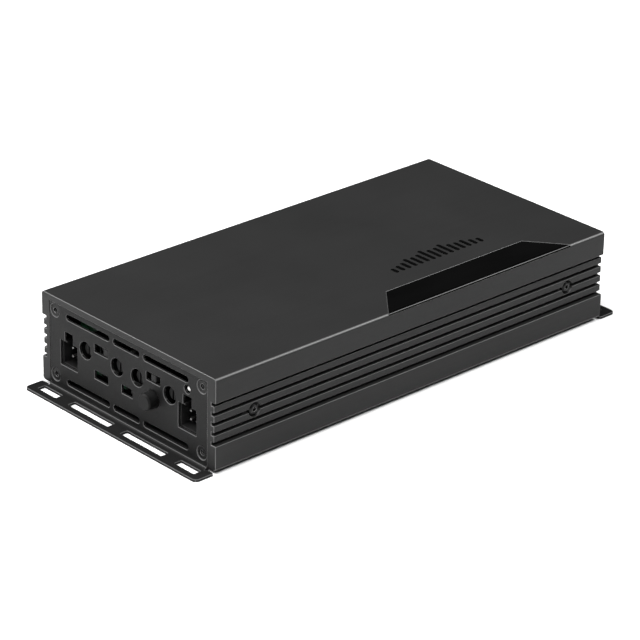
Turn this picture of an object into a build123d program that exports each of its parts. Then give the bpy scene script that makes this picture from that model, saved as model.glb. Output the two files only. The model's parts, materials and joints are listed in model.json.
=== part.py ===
from build123d import *
import math
import os

# Compact car amplifier: a finned aluminium tube, closed at each end by a folded steel panel whose
# foot carries the mounting slots. Millimetres. X runs across, Y along the length with the controls
# at the -Y end, Z up. The origin is the centre of the mounting plane, under the feet.

os.makedirs("parts", exist_ok=True)

FRONT = -1
REAR = 1

# ---------------------------------------------------------------- driving dimensions
SHEET = 1.2                # steel of both end panels
TUBE_LENGTH = 240.0
TUBE_WIDTH = 118.6
TUBE_HEIGHT = 43.9
TUBE_LOW = 1.6             # underside of the tube above the mounting plane
TOP_WALL = 3.0
BOTTOM_WALL = 2.4
CAVITY_X = 53.9            # half width of the tube's inside
OUTER_CORNER_R = 1.5
REBATE = 1.4               # depth of the seat for a panel in each end of the tube
PANEL_RECESS = 0.2         # panel face behind the tube's end

FIN_COUNT = 4
FIN_HEIGHT = 3.0
FIN_ZONE = (11.9, 32.3)    # finned stretch of each side, above the tube's underside
FIN_SET_BACK = 1.1         # fin tips inside the plain bands
GROOVE_DEPTH = 2.95
FIN_R = 0.25
BAND_R = 0.35

PANEL_X = 53.7             # half width of an end panel
PANEL_TOP_GAP = 0.15
BEND_R = 1.8               # inside radius of the fold
FOOT_X = 59.0              # half width of a foot
FOOT_REACH = 11.0          # foot's edge beyond the tube's end
FOOT_SLOT_WIDTH = 3.9
FOOT_SLOT_REACH = 5.4      # slot centres beyond the tube's end
FOOT_SLOTS = ((18.25, 27.7), (47.35, 12.8))    # (X of the centre, length), mirrored about X = 0
FOOT_SLOT_CORNER_R = 0.5
FOOT_CORNER_R = 2.5

SCREW_X = 50.1             # panel screws, half spacing
SCREW_LIFT = (5.5, 37.1)   # panel screws above the tube's underside
SINK_R = 3.4               # countersink at the panel's face
TUBE_SINK_R = SINK_R - SHEET + 0.05    # the countersink goes on into the tube's end
SINK_DEPTH = 0.45          # screw heads below the panel's face
EDGE_BREAK = 0.2           # chamfer on the tube's ends and round the panels' openings
SIDE_SCREW_Y = 97.0
SIDE_SCREW_LIFT = 22.0
SIDE_POCKET_R = 3.5
SIDE_POCKET_DEPTH = 3.2
PORT_DRILL_R = 1.3         # bore of the corner screw ports
M3_R = 1.5                 # screw shank
M3_TAPPED_R = 1.52         # hole that a shank fills
M3_CLEAR_R = 1.7

INLAY_T = 0.8
INLAY_LIP = 1.0            # how far the inlay wraps down the side
INLAY_GAP = 0.08           # clearance round the inlay in its pocket
INLAY_INNER_X = 41.5
INLAY_INNER_Y = (-4.0, 82.5)
INLAY_OUTER_Y = (-19.5, 97.0)

BOARD_T = 1.6
MAIN_BOARD_Z = 12.0
MAIN_BOARD_X = 53.4
MAIN_BOARD_Y = (-105.6, 117.6)
CONTROL_BOARD_Y = -108.0   # face that carries the controls
CONTROL_BOARD_X = 46.8
CONTROL_BOARD_Z = (9.0, 36.2)

POT_X = (-28.8, -6.9, 6.9, 28.8)
POT_LIFT = 25.0
POT_HOLE_R = 4.2
SWITCH_X = 17.8
SWITCH_LIFTS = (15.8, 28.8)
SWITCH_WINDOW = (9.4, 4.2)
SHORT_WINDOW = (7.5, 4.2)
SLIDER_WIDTH = 3.3
BUTTON_X = 17.8
BUTTON_LIFT = 19.0
BUTTON_R = 4.0
BUTTON_STAND = 5.4         # cap in front of the panel's face
BUTTON_TRAVEL = 2.0
HEADER_X = 40.5
HEADER_LIFTS = (12.0, 24.2)
HEADER_WIDTH = 12.0
LATCH_WIDTH = 5.6
LATCH_TOP_LIFT = 29.1
LED_X = 40.5
LED_LIFT = 32.3
LED_R = 1.5
VENT_WIDTH = 3.0
VENT_LIFTS = (4.6, 36.7)
VENTS = ((-27.1, 30.2), (-0.5, 18.0), (26.1, 30.2))    # (X of the centre, length)

BAR_T = 8.0                # heat bars
BAR_Z = (17.0, 33.0)
BAR_LENGTH = 204.0
PAD_T = 0.3

# ---------------------------------------------------------------- places worked out from them
END_Y = TUBE_LENGTH / 2
SEAT_Y = END_Y - REBATE                 # inner face of a panel
FACE_Y = SEAT_Y + SHEET                 # outer face of a panel
FOOT_Y = END_Y + FOOT_REACH
TUBE_TOP = TUBE_LOW + TUBE_HEIGHT
TUBE_MID = TUBE_LOW + TUBE_HEIGHT / 2
CAVITY_LOW = TUBE_LOW + BOTTOM_WALL
CAVITY_HIGH = TUBE_TOP - TOP_WALL
PANEL_TOP = CAVITY_HIGH - PANEL_TOP_GAP
MAIN_TOP = MAIN_BOARD_Z + BOARD_T
CONTROL_BACK_Y = CONTROL_BOARD_Y + BOARD_T
BAR_FACE_X = CAVITY_X - BAR_T
TAB_X = BAR_FACE_X - PAD_T
POT_Z = TUBE_LOW + POT_LIFT
BUTTON_Z = TUBE_LOW + BUTTON_LIFT
LED_Z = TUBE_LOW + LED_LIFT
SWITCH_LOW_Z = TUBE_LOW + SWITCH_LIFTS[0]
SWITCH_HIGH_Z = TUBE_LOW + SWITCH_LIFTS[1]
HEADER_LOW = TUBE_LOW + HEADER_LIFTS[0]
HEADER_HIGH = TUBE_LOW + HEADER_LIFTS[1]
HEADER_MID = (HEADER_LOW + HEADER_HIGH) / 2
SIDE_SCREW_Z = TUBE_LOW + SIDE_SCREW_LIFT
SCREW_PLACES = [(side * SCREW_X, TUBE_LOW + lift) for side in (-1, 1) for lift in SCREW_LIFT]
SUNK_HEAD_Y = FACE_Y - SINK_DEPTH

# ---------------------------------------------------------------- sizes of the parts inside
# Rear connections: a two-blade power header, a fuse and an eight-pin speaker header.
POWER_X = -32.0
POWER_SIZE = (22.0, 14.0)
POWER_BLADE_PITCH = 9.0
FUSE_X = -6.0
FUSE_WINDOW = (6.6, 16.6)
FUSE_HOLDER = (8.0, 14.0, 18.4)        # size along X, Y and Z
SPEAKER_X = 24.0
SPEAKER_SIZE = (19.6, 11.0)
PIN_PITCH = 4.2
SHROUD_WALL = 1.2
SHROUD_REACH = 0.1         # shroud mouths stop this far behind a panel
REAR_MID_Z = MAIN_TOP + 9.2
REAR_SHROUD_Y = 104.0

# Heat bars and transistors.
SUPPLY_Y = [10.0 + 16.0 * i for i in range(6)]       # power supply transistors, -X side
OUTPUT_Y = [-88.0 + 14.0 * i for i in range(8)]      # output transistors, +X side
CASE_Z = (17.0, 26.2)      # moulded part of a transistor
TAB_TOP = 32.6
TAB_HOLE_Z = 29.6
TAB_T = 1.3
CASE_T = 4.5
LEG_PITCH = 2.54
LEG_LOW = MAIN_BOARD_Z - 1.4

# Parts on the main board.
TRANSFORMER = (-6.0, 26.0)             # (X, Y) on the main board
CHOKES = [(22.0, -84.0 + 24.0 * i) for i in range(4)]
INPUT_CAPS = [(-26.0, 92.0 - 19.0 * i) for i in range(3)]
RAIL_CAPS = [(24.0, 86.0 - 16.0 * i) for i in range(4)]
SIGNAL_CAPS = [(x, y) for x in (-34.0, -26.0, -18.0) for y in (-92.0, -82.0, -72.0, -62.0)]
CHIPS = [(-8.0, -88.0), (-8.0, -66.0), (-8.0, -40.0), (-8.0, -16.0), (-26.0, -30.0)]
INPUT_CAP_PITCH = 7.5
RAIL_CAP_PITCH = 5.0
SIGNAL_CAP_PITCH = 2.0
LINK_X = 17.8
LINK_COUNT = 8
LINK_Z = MAIN_TOP + 1.25
LINK_PIN_Y = MAIN_BOARD_Y[0] + 2.4
LEAD_R = 0.4
LEAD_HOLE_R = 0.55
CORE_R = (8.0, 17.0)
CORE_H = 11.0
CHOKE_R = (4.0, 8.5)
CHOKE_H = 7.0
WIRE_T = 1.0
WINDING_FILL = 0.83        # share of a ring's inner circumference that its turns cover
RING_LIFT = 2.0            # rings above the main board
TRANSFORMER_TURNS = 20
CHOKE_TURNS = 12

# Control board.
LEGS = 0.45                # radius of the legs of the controls
LEG_HOLE = 0.55
LEG_BACK_Y = CONTROL_BACK_Y + 1.2
POT_LEGS = [(x + dx, POT_Z - 3.4) for x in POT_X for dx in (-2.5, 0.0, 2.5)]
SWITCH_PLACES = (
    (-SWITCH_X, SWITCH_HIGH_Z, SWITCH_WINDOW[0]),
    (SWITCH_X, SWITCH_HIGH_Z, SWITCH_WINDOW[0]),
    (-SWITCH_X, SWITCH_LOW_Z, SWITCH_WINDOW[0]),
    (0.0, SWITCH_LOW_Z, SHORT_WINDOW[0]),
)
SWITCH_LEGS = [(x + dx, z) for x, z, _ in SWITCH_PLACES for dx in (-3.0, 0.0, 3.0)]
BUTTON_LEGS = [(BUTTON_X + dx, BUTTON_Z + 3.0) for dx in (-2.5, 0.0, 2.5)]
HEADER_PINS = [
    (side * HEADER_X + dx * PIN_PITCH / 2, HEADER_MID + dz * PIN_PITCH / 2)
    for side in (-1, 1)
    for dx in (-1, 1)
    for dz in (-1, 1)
]
LED_LEADS = [(LED_X + dx, LED_Z) for dx in (-1.0, 1.0)]
STANDOFFS = [(-28.8, 17.5), (28.8, 17.5), (0.0, 33.9)]

# Trimmers.
POT_BODY = 9.8
POT_DEPTH = 6.8
POT_COLLAR = (3.6, 1.6)                # (radius, height)
POT_SHAFT_R = 3.0
POT_RUNNING = 0.05                     # radial clearance of a shaft
POT_DISC_R = 3.9
POT_DISC_Y = (CONTROL_BOARD_Y - 2.6, CONTROL_BOARD_Y - 4.0)
ROTOR_FACE_Y = -SEAT_Y + 1.0
ROTOR_NAMES = ("front_gain", "front_crossover", "rear_crossover", "rear_gain")

# Slide switches.
SWITCH_BODY = (11.6, 6.4)
SWITCH_DEPTH = 6.6
SWITCH_LIP = 0.8
SWITCH_ROOM = (10.4, 5.0)              # inside of a switch body
SWITCH_ROOM_BACK = 1.0
SLOT_HEIGHT = 3.6
SLIDER_BASE = (4.4, 4.8, 2.4)
SLIDER_STEM_HEIGHT = 3.3
# (name, X, Z, offset of the stem from the window's centre, front face behind the panel's face)
SLIDERS = (
    ("front_filter", -SWITCH_X, SWITCH_HIGH_Z, 2.9, 0.3),
    ("rear_filter", SWITCH_X, SWITCH_HIGH_Z, 0.0, 0.3),
    ("input_range", -SWITCH_X, SWITCH_LOW_Z, 2.9, 2.6),
    ("input_mode", 0.0, SWITCH_LOW_Z, 1.9, 2.0),
)

# Push button.
BUTTON_BODY = 8.4
BUTTON_DEPTH = 7.0
BUTTON_ROOM_R = 3.2
BUTTON_ROOM_BACK = 0.8
BUTTON_LIP = 1.0
STEM = 3.2
COLLAR_R = 2.9
COLLAR_T = 0.8
CAP_TIP_Y = -FACE_Y - BUTTON_STAND
CAP_BACK_Y = CONTROL_BOARD_Y - BUTTON_DEPTH - BUTTON_TRAVEL - 0.4
STEM_TIP_Y = CAP_TIP_Y + 3.2
COLLAR_Y = CONTROL_BOARD_Y - BUTTON_DEPTH + BUTTON_LIP + 0.05
SPRING_WIRE_R = 0.2
SPRING_R = 2.3
SPRING_TURNS = 4

# Headers.
PIN_SIDE = 1.1
SHROUD_BACK = 2.0
LATCH_SLOT_DEPTH = 4.6                 # latch slot in the roof of a front shroud
LATCH_RIB = (4.0, 1.4)                 # width and height of the latch ramp on a rear shroud
LATCH_RAMP = (0.6, 3.4, 4.4)           # foot, top and back of that ramp, behind the mouth
BLADE = (5.0, 0.8)
POWER_SLOTS = [
    (POWER_X + sign * POWER_BLADE_PITCH / 2, REAR_MID_Z, *BLADE) for sign in (-1, 1)
]
SPEAKER_SLOTS = [
    (SPEAKER_X + (column - 1.5) * PIN_PITCH, REAR_MID_Z + row * PIN_PITCH / 2, PIN_SIDE, PIN_SIDE)
    for column in range(4)
    for row in (-1, 1)
]
CONTACT_TIP_Y = SEAT_Y - 3.0

# Status light.
LED_TIP_Y = -FACE_Y + 0.7
LED_FLANGE_Y = CONTROL_BOARD_Y - 5.4


def facing(y):
    """Sketch plane across the tube at y: local x is X, local y is Z, and its normal is -Y."""
    return Plane.XZ.offset(-y)


def outward(x, y, z, direction):
    """Plane at a point, with its normal along direction."""
    return Plane(origin=(x, y, z), z_dir=direction)


def near(vertices, x, y):
    """The vertex of a sketch that is nearest to (x, y)."""
    return vertices.sort_by(lambda v: (v.X - x) ** 2 + (v.Y - y) ** 2)[0]


# ================================================================ housing
def draw_outline(inset=0.0):
    """Outer rectangle of the tube's section, shrunk by inset."""
    with Locations((0, TUBE_MID)):
        RectangleRounded(
            TUBE_WIDTH - 2 * inset, TUBE_HEIGHT - 2 * inset, OUTER_CORNER_R - inset
        )


def draw_fins():
    """Cuts the grooved zone out of both sides of the outline, then puts the fins back."""
    low = TUBE_LOW + FIN_ZONE[0]
    high = TUBE_LOW + FIN_ZONE[1]
    groove = (high - low - FIN_COUNT * FIN_HEIGHT) / (FIN_COUNT + 1)
    root_x = TUBE_WIDTH / 2 - GROOVE_DEPTH
    tip_x = TUBE_WIDTH / 2 - FIN_SET_BACK
    buried = 1.0
    for side in (-1, 1):
        with Locations((side * TUBE_WIDTH / 2, (low + high) / 2)):
            Rectangle(2 * GROOVE_DEPTH, high - low, mode=Mode.SUBTRACT)
        with Locations((side * (root_x - buried + tip_x) / 2, (low + high) / 2)):
            with GridLocations(0, FIN_HEIGHT + groove, 1, FIN_COUNT):
                RectangleRounded(tip_x - root_x + buried, FIN_HEIGHT, FIN_R)


def draw_ports():
    """Corner screw ports and board rails on the inside of the tube."""
    port = 3.0
    buried = 0.8
    rail_x = 51.4
    rail_t = 1.5
    for x, z in SCREW_PLACES:
        side = 1 if x > 0 else -1
        inner_x = abs(x) - port
        outer_x = CAVITY_X + buried
        if z < TUBE_MID:
            z_low, z_high = CAVITY_LOW - buried, z + port
        else:
            z_low, z_high = z - port, CAVITY_HIGH + buried
        with Locations((side * (inner_x + outer_x) / 2, (z_low + z_high) / 2)):
            RectangleRounded(outer_x - inner_x, z_high - z_low, 1.2)
    for side in (-1, 1):
        for rail_z in (MAIN_BOARD_Z - rail_t / 2, MAIN_TOP + 0.15 + rail_t / 2):
            with Locations((side * (rail_x + CAVITY_X + buried) / 2, rail_z)):
                Rectangle(CAVITY_X + buried - rail_x, rail_t)
    with Locations(*SCREW_PLACES):
        Circle(PORT_DRILL_R, mode=Mode.SUBTRACT)


def inlay_layer(grow, skin):
    """The skin of the tube under the inlay's plan, grown by grow, with its outside at skin."""
    over_x = TUBE_WIDTH / 2 + 1.0
    with BuildPart() as layer:
        with BuildSketch(Plane.XY.offset(TUBE_TOP - INLAY_LIP - grow)):
            slope_low = (INLAY_INNER_Y[0] - INLAY_OUTER_Y[0]) / (TUBE_WIDTH / 2 - INLAY_INNER_X)
            slope_high = (INLAY_OUTER_Y[1] - INLAY_INNER_Y[1]) / (TUBE_WIDTH / 2 - INLAY_INNER_X)
            reach = over_x - INLAY_INNER_X
            with BuildLine():
                Polyline(
                    (INLAY_INNER_X, INLAY_INNER_Y[0]),
                    (over_x, INLAY_INNER_Y[0] - slope_low * reach),
                    (over_x, INLAY_INNER_Y[1] + slope_high * reach),
                    (INLAY_INNER_X, INLAY_INNER_Y[1]),
                    close=True,
                )
            make_face()
            if grow:
                offset(amount=grow, kind=Kind.INTERSECTION)
        extrude(amount=INLAY_LIP + 2.0)
        with BuildSketch(Plane.XZ):
            draw_outline(skin)
        extrude(amount=END_Y, both=True, mode=Mode.INTERSECT)
        with BuildSketch(Plane.XZ):
            draw_outline(INLAY_T)
        extrude(amount=END_Y, both=True, mode=Mode.SUBTRACT)
    return layer.part


with BuildPart() as housing_tube:
    with BuildSketch(Plane.XZ) as section:
        draw_outline()
        draw_fins()
        for band_side in (-1, 1):
            for band_edge in FIN_ZONE:
                corner = near(
                    section.vertices(), band_side * TUBE_WIDTH / 2, TUBE_LOW + band_edge
                )
                fillet(corner, BAND_R)
        with Locations((0, (CAVITY_LOW + CAVITY_HIGH) / 2)):
            RectangleRounded(2 * CAVITY_X, CAVITY_HIGH - CAVITY_LOW, 0.8, mode=Mode.SUBTRACT)
        draw_ports()
    extrude(amount=END_Y, both=True)
    # The outer rim of both ends is broken by a small chamfer.
    rims = housing_tube.faces().sort_by(Axis.Y)
    for rim in (rims[0], rims[-1]):
        chamfer(rim.outer_wire().edges(), length=EDGE_BREAK)
    # Seats for the panels, open downwards so that the panels can fold out into feet.
    for end in (FRONT, REAR):
        with BuildSketch(facing(end * END_Y)):
            with Locations((0, CAVITY_HIGH / 2)):
                Rectangle(2 * CAVITY_X, CAVITY_HIGH)
        extrude(amount=end * REBATE, mode=Mode.SUBTRACT)
        with Locations(*[outward(x, end * SEAT_Y, z, (0, end, 0)) for x, z in SCREW_PLACES]):
            CounterSinkHole(
                radius=1.55,
                counter_sink_radius=TUBE_SINK_R,
                depth=10,
                counter_sink_angle=90,
            )
    # Round pockets through the fins for the heat bar screws.
    for side in (-1, 1):
        with BuildSketch(Plane.YZ.offset(side * TUBE_WIDTH / 2)):
            with Locations((-SIDE_SCREW_Y, SIDE_SCREW_Z), (SIDE_SCREW_Y, SIDE_SCREW_Z)):
                Circle(SIDE_POCKET_R)
        extrude(amount=-side * SIDE_POCKET_DEPTH, mode=Mode.SUBTRACT)
        with BuildSketch(Plane.YZ.offset(side * TUBE_WIDTH / 2)):
            with Locations((-SIDE_SCREW_Y, SIDE_SCREW_Z), (SIDE_SCREW_Y, SIDE_SCREW_Z)):
                Circle(M3_CLEAR_R)
        extrude(amount=-side * (TUBE_WIDTH / 2 - CAVITY_X + 1), mode=Mode.SUBTRACT)
    add(inlay_layer(grow=INLAY_GAP, skin=-0.5), mode=Mode.SUBTRACT)
    # The rim of the inlay's pocket is broken where it meets the tube's flat outer faces.
    pocket_top = housing_tube.edges().filter_by(
        lambda e: abs(e.center().Z - TUBE_TOP) < 0.01
        and INLAY_INNER_X - 1 < e.center().X < TUBE_WIDTH / 2 - OUTER_CORNER_R - 0.1
        and INLAY_OUTER_Y[0] - 1 < e.center().Y < INLAY_OUTER_Y[1] + 1
    )
    chamfer(pocket_top, length=EDGE_BREAK)
housing_tube.part.label = "housing_tube"
export_step(housing_tube.part, "parts/housing_tube.step")


with BuildPart() as accent_inlay:
    add(inlay_layer(grow=0.0, skin=0.0))
accent_inlay.part.label = "accent_inlay"
export_step(accent_inlay.part, "parts/accent_inlay.step")


# ================================================================ end panels
def folded_sheet(end):
    """Upright sheet, fold and slotted foot of the panel at one end, before its openings."""
    ear_y = END_Y + 0.6
    relief_x = 54.5
    bend_y = FACE_Y + BEND_R + 0.2
    with BuildPart() as sheet:
        with BuildSketch(Plane.YZ.offset(-PANEL_X)) as profile:
            with BuildLine():
                Polyline(
                    (end * SEAT_Y, PANEL_TOP),
                    (end * FACE_Y, PANEL_TOP),
                    (end * FACE_Y, SHEET),
                    (end * FOOT_Y, SHEET),
                    (end * FOOT_Y, 0),
                    (end * SEAT_Y, 0),
                    close=True,
                )
            make_face()
            fillet(near(profile.vertices(), end * FACE_Y, SHEET), BEND_R)
            fillet(near(profile.vertices(), end * SEAT_Y, 0), BEND_R + SHEET)
        extrude(amount=2 * PANEL_X)
        with BuildSketch() as ears:
            with BuildLine():
                Polyline(
                    (-FOOT_X, end * FOOT_Y),
                    (FOOT_X, end * FOOT_Y),
                    (FOOT_X, end * ear_y),
                    (relief_x, end * ear_y),
                    (relief_x, end * bend_y),
                    (-relief_x, end * bend_y),
                    (-relief_x, end * ear_y),
                    (-FOOT_X, end * ear_y),
                    close=True,
                )
            make_face()
            for side in (-1, 1):
                fillet(near(ears.vertices(), side * FOOT_X, end * ear_y), 1.0)
        extrude(amount=SHEET)
        corners = sheet.edges().filter_by(Axis.Z).filter_by(
            lambda e: abs(e.center().Y - end * FOOT_Y) < 0.01
        )
        fillet(corners, FOOT_CORNER_R)
        with BuildSketch():
            for x, length in FOOT_SLOTS:
                with Locations(
                    (x, end * (END_Y + FOOT_SLOT_REACH)), (-x, end * (END_Y + FOOT_SLOT_REACH))
                ):
                    RectangleRounded(length, FOOT_SLOT_WIDTH, FOOT_SLOT_CORNER_R)
        extrude(amount=SHEET, mode=Mode.SUBTRACT)
        foot_top = sheet.faces().filter_by(Axis.Z).filter_by(
            lambda f: abs(f.center().Z - SHEET) < 0.01
        )
        rim = foot_top.edges().filter_by(lambda e: abs(e.center().Y) > END_Y + 2.5)
        chamfer(rim, length=EDGE_BREAK)
    return sheet.part


def break_openings(panel, end):
    """Chamfers the rims of the openings on the outer face of a panel."""
    face = panel.faces().filter_by(Axis.Y).filter_by(
        lambda f: abs(f.center().Y - end * FACE_Y) < 0.01
    )[0]
    for wire in face.inner_wires():
        chamfer(wire.edges(), length=EDGE_BREAK)


def draw_vents(lift):
    """One row of round-ended vent slots."""
    for x, length in VENTS:
        with Locations((x, TUBE_LOW + lift)):
            SlotOverall(length, VENT_WIDTH)


def draw_header_window(x, width, low, high, latch_top):
    """Opening for a plug: the plug's rectangle with a narrower notch above for its latch."""
    with Locations((x, (low + high) / 2)):
        RectangleRounded(width, high - low, 0.4)
    with Locations((x, (high - 1 + latch_top) / 2)):
        RectangleRounded(LATCH_WIDTH, latch_top - high + 1, 0.4)


def sink_screw_holes(end):
    """Countersinks for the panel screws, cut into the panel of the part being built."""
    with Locations(*[outward(x, end * FACE_Y, z, (0, end, 0)) for x, z in SCREW_PLACES]):
        CounterSinkHole(
            radius=M3_CLEAR_R, counter_sink_radius=SINK_R, depth=SHEET, counter_sink_angle=90
        )


with BuildPart() as control_panel:
    add(folded_sheet(FRONT))
    with BuildSketch(facing(-FACE_Y)):
        for vent_lift in VENT_LIFTS:
            draw_vents(vent_lift)
        with Locations(*[(x, POT_Z) for x in POT_X]):
            Circle(POT_HOLE_R)
        with Locations(
            (-SWITCH_X, SWITCH_LOW_Z), (-SWITCH_X, SWITCH_HIGH_Z), (SWITCH_X, SWITCH_HIGH_Z)
        ):
            RectangleRounded(*SWITCH_WINDOW, 0.3)
        with Locations((0, SWITCH_LOW_Z)):
            RectangleRounded(*SHORT_WINDOW, 0.3)
        with Locations((BUTTON_X, BUTTON_Z)):
            Circle(BUTTON_R + 0.2)
        with Locations((LED_X, LED_Z)):
            Circle(2.1)
        for header_side in (-1, 1):
            draw_header_window(
                header_side * HEADER_X,
                HEADER_WIDTH,
                HEADER_LOW,
                HEADER_HIGH,
                TUBE_LOW + LATCH_TOP_LIFT,
            )
    extrude(amount=-SHEET, mode=Mode.SUBTRACT)
    break_openings(control_panel, FRONT)
    sink_screw_holes(FRONT)
control_panel.part.label = "control_panel"
export_step(control_panel.part, "parts/control_panel.step")


with BuildPart() as terminal_panel:
    add(folded_sheet(REAR))
    with BuildSketch(facing(FACE_Y)):
        for vent_lift in VENT_LIFTS:
            draw_vents(vent_lift)
        for x, size in ((POWER_X, POWER_SIZE), (SPEAKER_X, SPEAKER_SIZE)):
            draw_header_window(
                x,
                size[0],
                REAR_MID_Z - size[1] / 2,
                REAR_MID_Z + size[1] / 2,
                REAR_MID_Z + size[1] / 2 + 4,
            )
        with Locations((FUSE_X, REAR_MID_Z)):
            RectangleRounded(*FUSE_WINDOW, 0.6)
    extrude(amount=SHEET, mode=Mode.SUBTRACT)
    break_openings(terminal_panel, REAR)
    sink_screw_holes(REAR)
terminal_panel.part.label = "terminal_panel"
export_step(terminal_panel.part, "parts/terminal_panel.step")


# ================================================================ screws
def revolved(points):
    """Solid of revolution about Z from a closed outline of (radius, z) points."""
    with BuildPart() as turned:
        with BuildSketch(Plane.XZ):
            with BuildLine():
                Polyline(*points, close=True)
            make_face()
        revolve(axis=Axis.Z)
    return turned.part


def sunk_screw(length):
    """Countersunk socket screw, head face at z = 0, shank downwards."""
    head_r = SINK_R - 0.6
    shank_r = M3_R
    rim = 0.12
    cone_end = -rim - (head_r - shank_r)
    with BuildPart() as screw:
        add(
            revolved(
                (
                    (0, 0),
                    (head_r - 0.15, 0),
                    (head_r, -0.1),
                    (head_r, -rim),
                    (shank_r, cone_end),
                    (shank_r, -length + 0.4),
                    (shank_r - 0.4, -length),
                    (0, -length),
                )
            )
        )
        with BuildSketch():
            RegularPolygon(1.25, 6, major_radius=False)
        extrude(amount=-1.1, mode=Mode.SUBTRACT)
    return screw.part


def button_screw(head_r, head_t, length, socket_r=1.0):
    """Low domed socket screw, seat at z = 0, shank downwards."""
    shank_r = M3_R
    with BuildPart() as screw:
        add(
            revolved(
                (
                    (0, head_t),
                    (head_r * 0.62, head_t),
                    (head_r * 0.88, head_t * 0.72),
                    (head_r, head_t * 0.3),
                    (head_r, 0),
                    (shank_r, 0),
                    (shank_r, -length + 0.4),
                    (shank_r - 0.4, -length),
                    (0, -length),
                )
            )
        )
        with BuildSketch(Plane.XY.offset(head_t)):
            RegularPolygon(socket_r, 6, major_radius=False)
        extrude(amount=-head_t * 0.7, mode=Mode.SUBTRACT)
    return screw.part


with BuildPart() as control_panel_screws:
    with Locations(*[outward(x, -SUNK_HEAD_Y, z, (0, -1, 0)) for x, z in SCREW_PLACES]):
        add(sunk_screw(10.0))
control_panel_screws.part.label = "control_panel_screws"
export_step(control_panel_screws.part, "parts/control_panel_screws.step")

with BuildPart() as terminal_panel_screws:
    with Locations(*[outward(x, SUNK_HEAD_Y, z, (0, 1, 0)) for x, z in SCREW_PLACES]):
        add(sunk_screw(10.0))
terminal_panel_screws.part.label = "terminal_panel_screws"
export_step(terminal_panel_screws.part, "parts/terminal_panel_screws.step")

with BuildPart() as heat_bar_screws:
    seat_x = TUBE_WIDTH / 2 - SIDE_POCKET_DEPTH
    for side in (-1, 1):
        with Locations(
            *[
                outward(side * seat_x, y, SIDE_SCREW_Z, (side, 0, 0))
                for y in (-SIDE_SCREW_Y, SIDE_SCREW_Y)
            ]
        ):
            add(button_screw(2.85, 1.9, 9.5))
heat_bar_screws.part.label = "heat_bar_screws"
export_step(heat_bar_screws.part, "parts/heat_bar_screws.step")


# ================================================================ heat bars and transistors


def heat_bar(side, places):
    """Aluminium bar against one side wall, drilled for its wall screws and its transistors."""
    with BuildPart() as bar:
        with BuildSketch(Plane.YZ.offset(side * BAR_FACE_X)):
            with Locations((0, (BAR_Z[0] + BAR_Z[1]) / 2)):
                RectangleRounded(BAR_LENGTH, BAR_Z[1] - BAR_Z[0], 1.0)
        extrude(amount=side * BAR_T)
        with BuildSketch(Plane.YZ.offset(side * CAVITY_X)):
            with Locations((-SIDE_SCREW_Y, SIDE_SCREW_Z), (SIDE_SCREW_Y, SIDE_SCREW_Z)):
                Circle(M3_TAPPED_R)
        extrude(amount=-side * 7.6, mode=Mode.SUBTRACT)
        with BuildSketch(Plane.YZ.offset(side * BAR_FACE_X)):
            with Locations(*[(y, TAB_HOLE_Z) for y in places]):
                Circle(M3_TAPPED_R)
        extrude(amount=side * 6.0, mode=Mode.SUBTRACT)
    return bar.part


def transistor_row(side, places):
    """Tab transistors standing on their legs, with their tabs against the pads on one bar."""
    with BuildPart() as row:
        with BuildSketch(Plane.YZ.offset(side * TAB_X)):
            with Locations(*[(y, (CASE_Z[0] + TAB_TOP) / 2) for y in places]):
                RectangleRounded(10.2, TAB_TOP - CASE_Z[0], 0.4)
            with Locations(*[(y, TAB_HOLE_Z) for y in places]):
                Circle(1.85, mode=Mode.SUBTRACT)
        extrude(amount=-side * TAB_T)
        with BuildSketch(Plane.YZ.offset(side * (TAB_X - 0.8))):
            with Locations(*[(y, (CASE_Z[0] + CASE_Z[1]) / 2) for y in places]):
                RectangleRounded(10.2, CASE_Z[1] - CASE_Z[0], 0.4)
        extrude(amount=-side * (CASE_T - 0.8))
        with BuildSketch(Plane.XY.offset(LEG_LOW)):
            with Locations(*[(side * (TAB_X - 2.6), y) for y in places]):
                with GridLocations(0, LEG_PITCH, 1, 3):
                    Rectangle(0.5, 0.8)
        extrude(amount=CASE_Z[0] + 1.0 - LEG_LOW)
    return row.part


def pad_row(side, places):
    """Insulating pads between one bar and its transistors."""
    with BuildPart() as row:
        with BuildSketch(Plane.YZ.offset(side * TAB_X)):
            with Locations(*[(y, (CASE_Z[0] + TAB_TOP) / 2) for y in places]):
                RectangleRounded(12.6, TAB_TOP - CASE_Z[0], 0.6)
            with Locations(*[(y, TAB_HOLE_Z) for y in places]):
                Circle(1.85, mode=Mode.SUBTRACT)
        extrude(amount=side * PAD_T)
    return row.part


with BuildPart() as left_heat_bar:
    add(heat_bar(-1, SUPPLY_Y))
left_heat_bar.part.label = "left_heat_bar"
export_step(left_heat_bar.part, "parts/left_heat_bar.step")

with BuildPart() as right_heat_bar:
    add(heat_bar(1, OUTPUT_Y))
right_heat_bar.part.label = "right_heat_bar"
export_step(right_heat_bar.part, "parts/right_heat_bar.step")

with BuildPart() as supply_transistors:
    add(transistor_row(-1, SUPPLY_Y))
supply_transistors.part.label = "supply_transistors"
export_step(supply_transistors.part, "parts/supply_transistors.step")

with BuildPart() as output_transistors:
    add(transistor_row(1, OUTPUT_Y))
output_transistors.part.label = "output_transistors"
export_step(output_transistors.part, "parts/output_transistors.step")

with BuildPart() as insulating_pads:
    add(pad_row(-1, SUPPLY_Y))
    add(pad_row(1, OUTPUT_Y))
insulating_pads.part.label = "insulating_pads"
export_step(insulating_pads.part, "parts/insulating_pads.step")

with BuildPart() as transistor_screws:
    for side, places in ((-1, SUPPLY_Y), (1, OUTPUT_Y)):
        with Locations(
            *[outward(side * (TAB_X - TAB_T), y, TAB_HOLE_Z, (-side, 0, 0)) for y in places]
        ):
            add(button_screw(2.75, 2.0, 7.0))
transistor_screws.part.label = "transistor_screws"
export_step(transistor_screws.part, "parts/transistor_screws.step")


# ================================================================ parts on the main board


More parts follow.
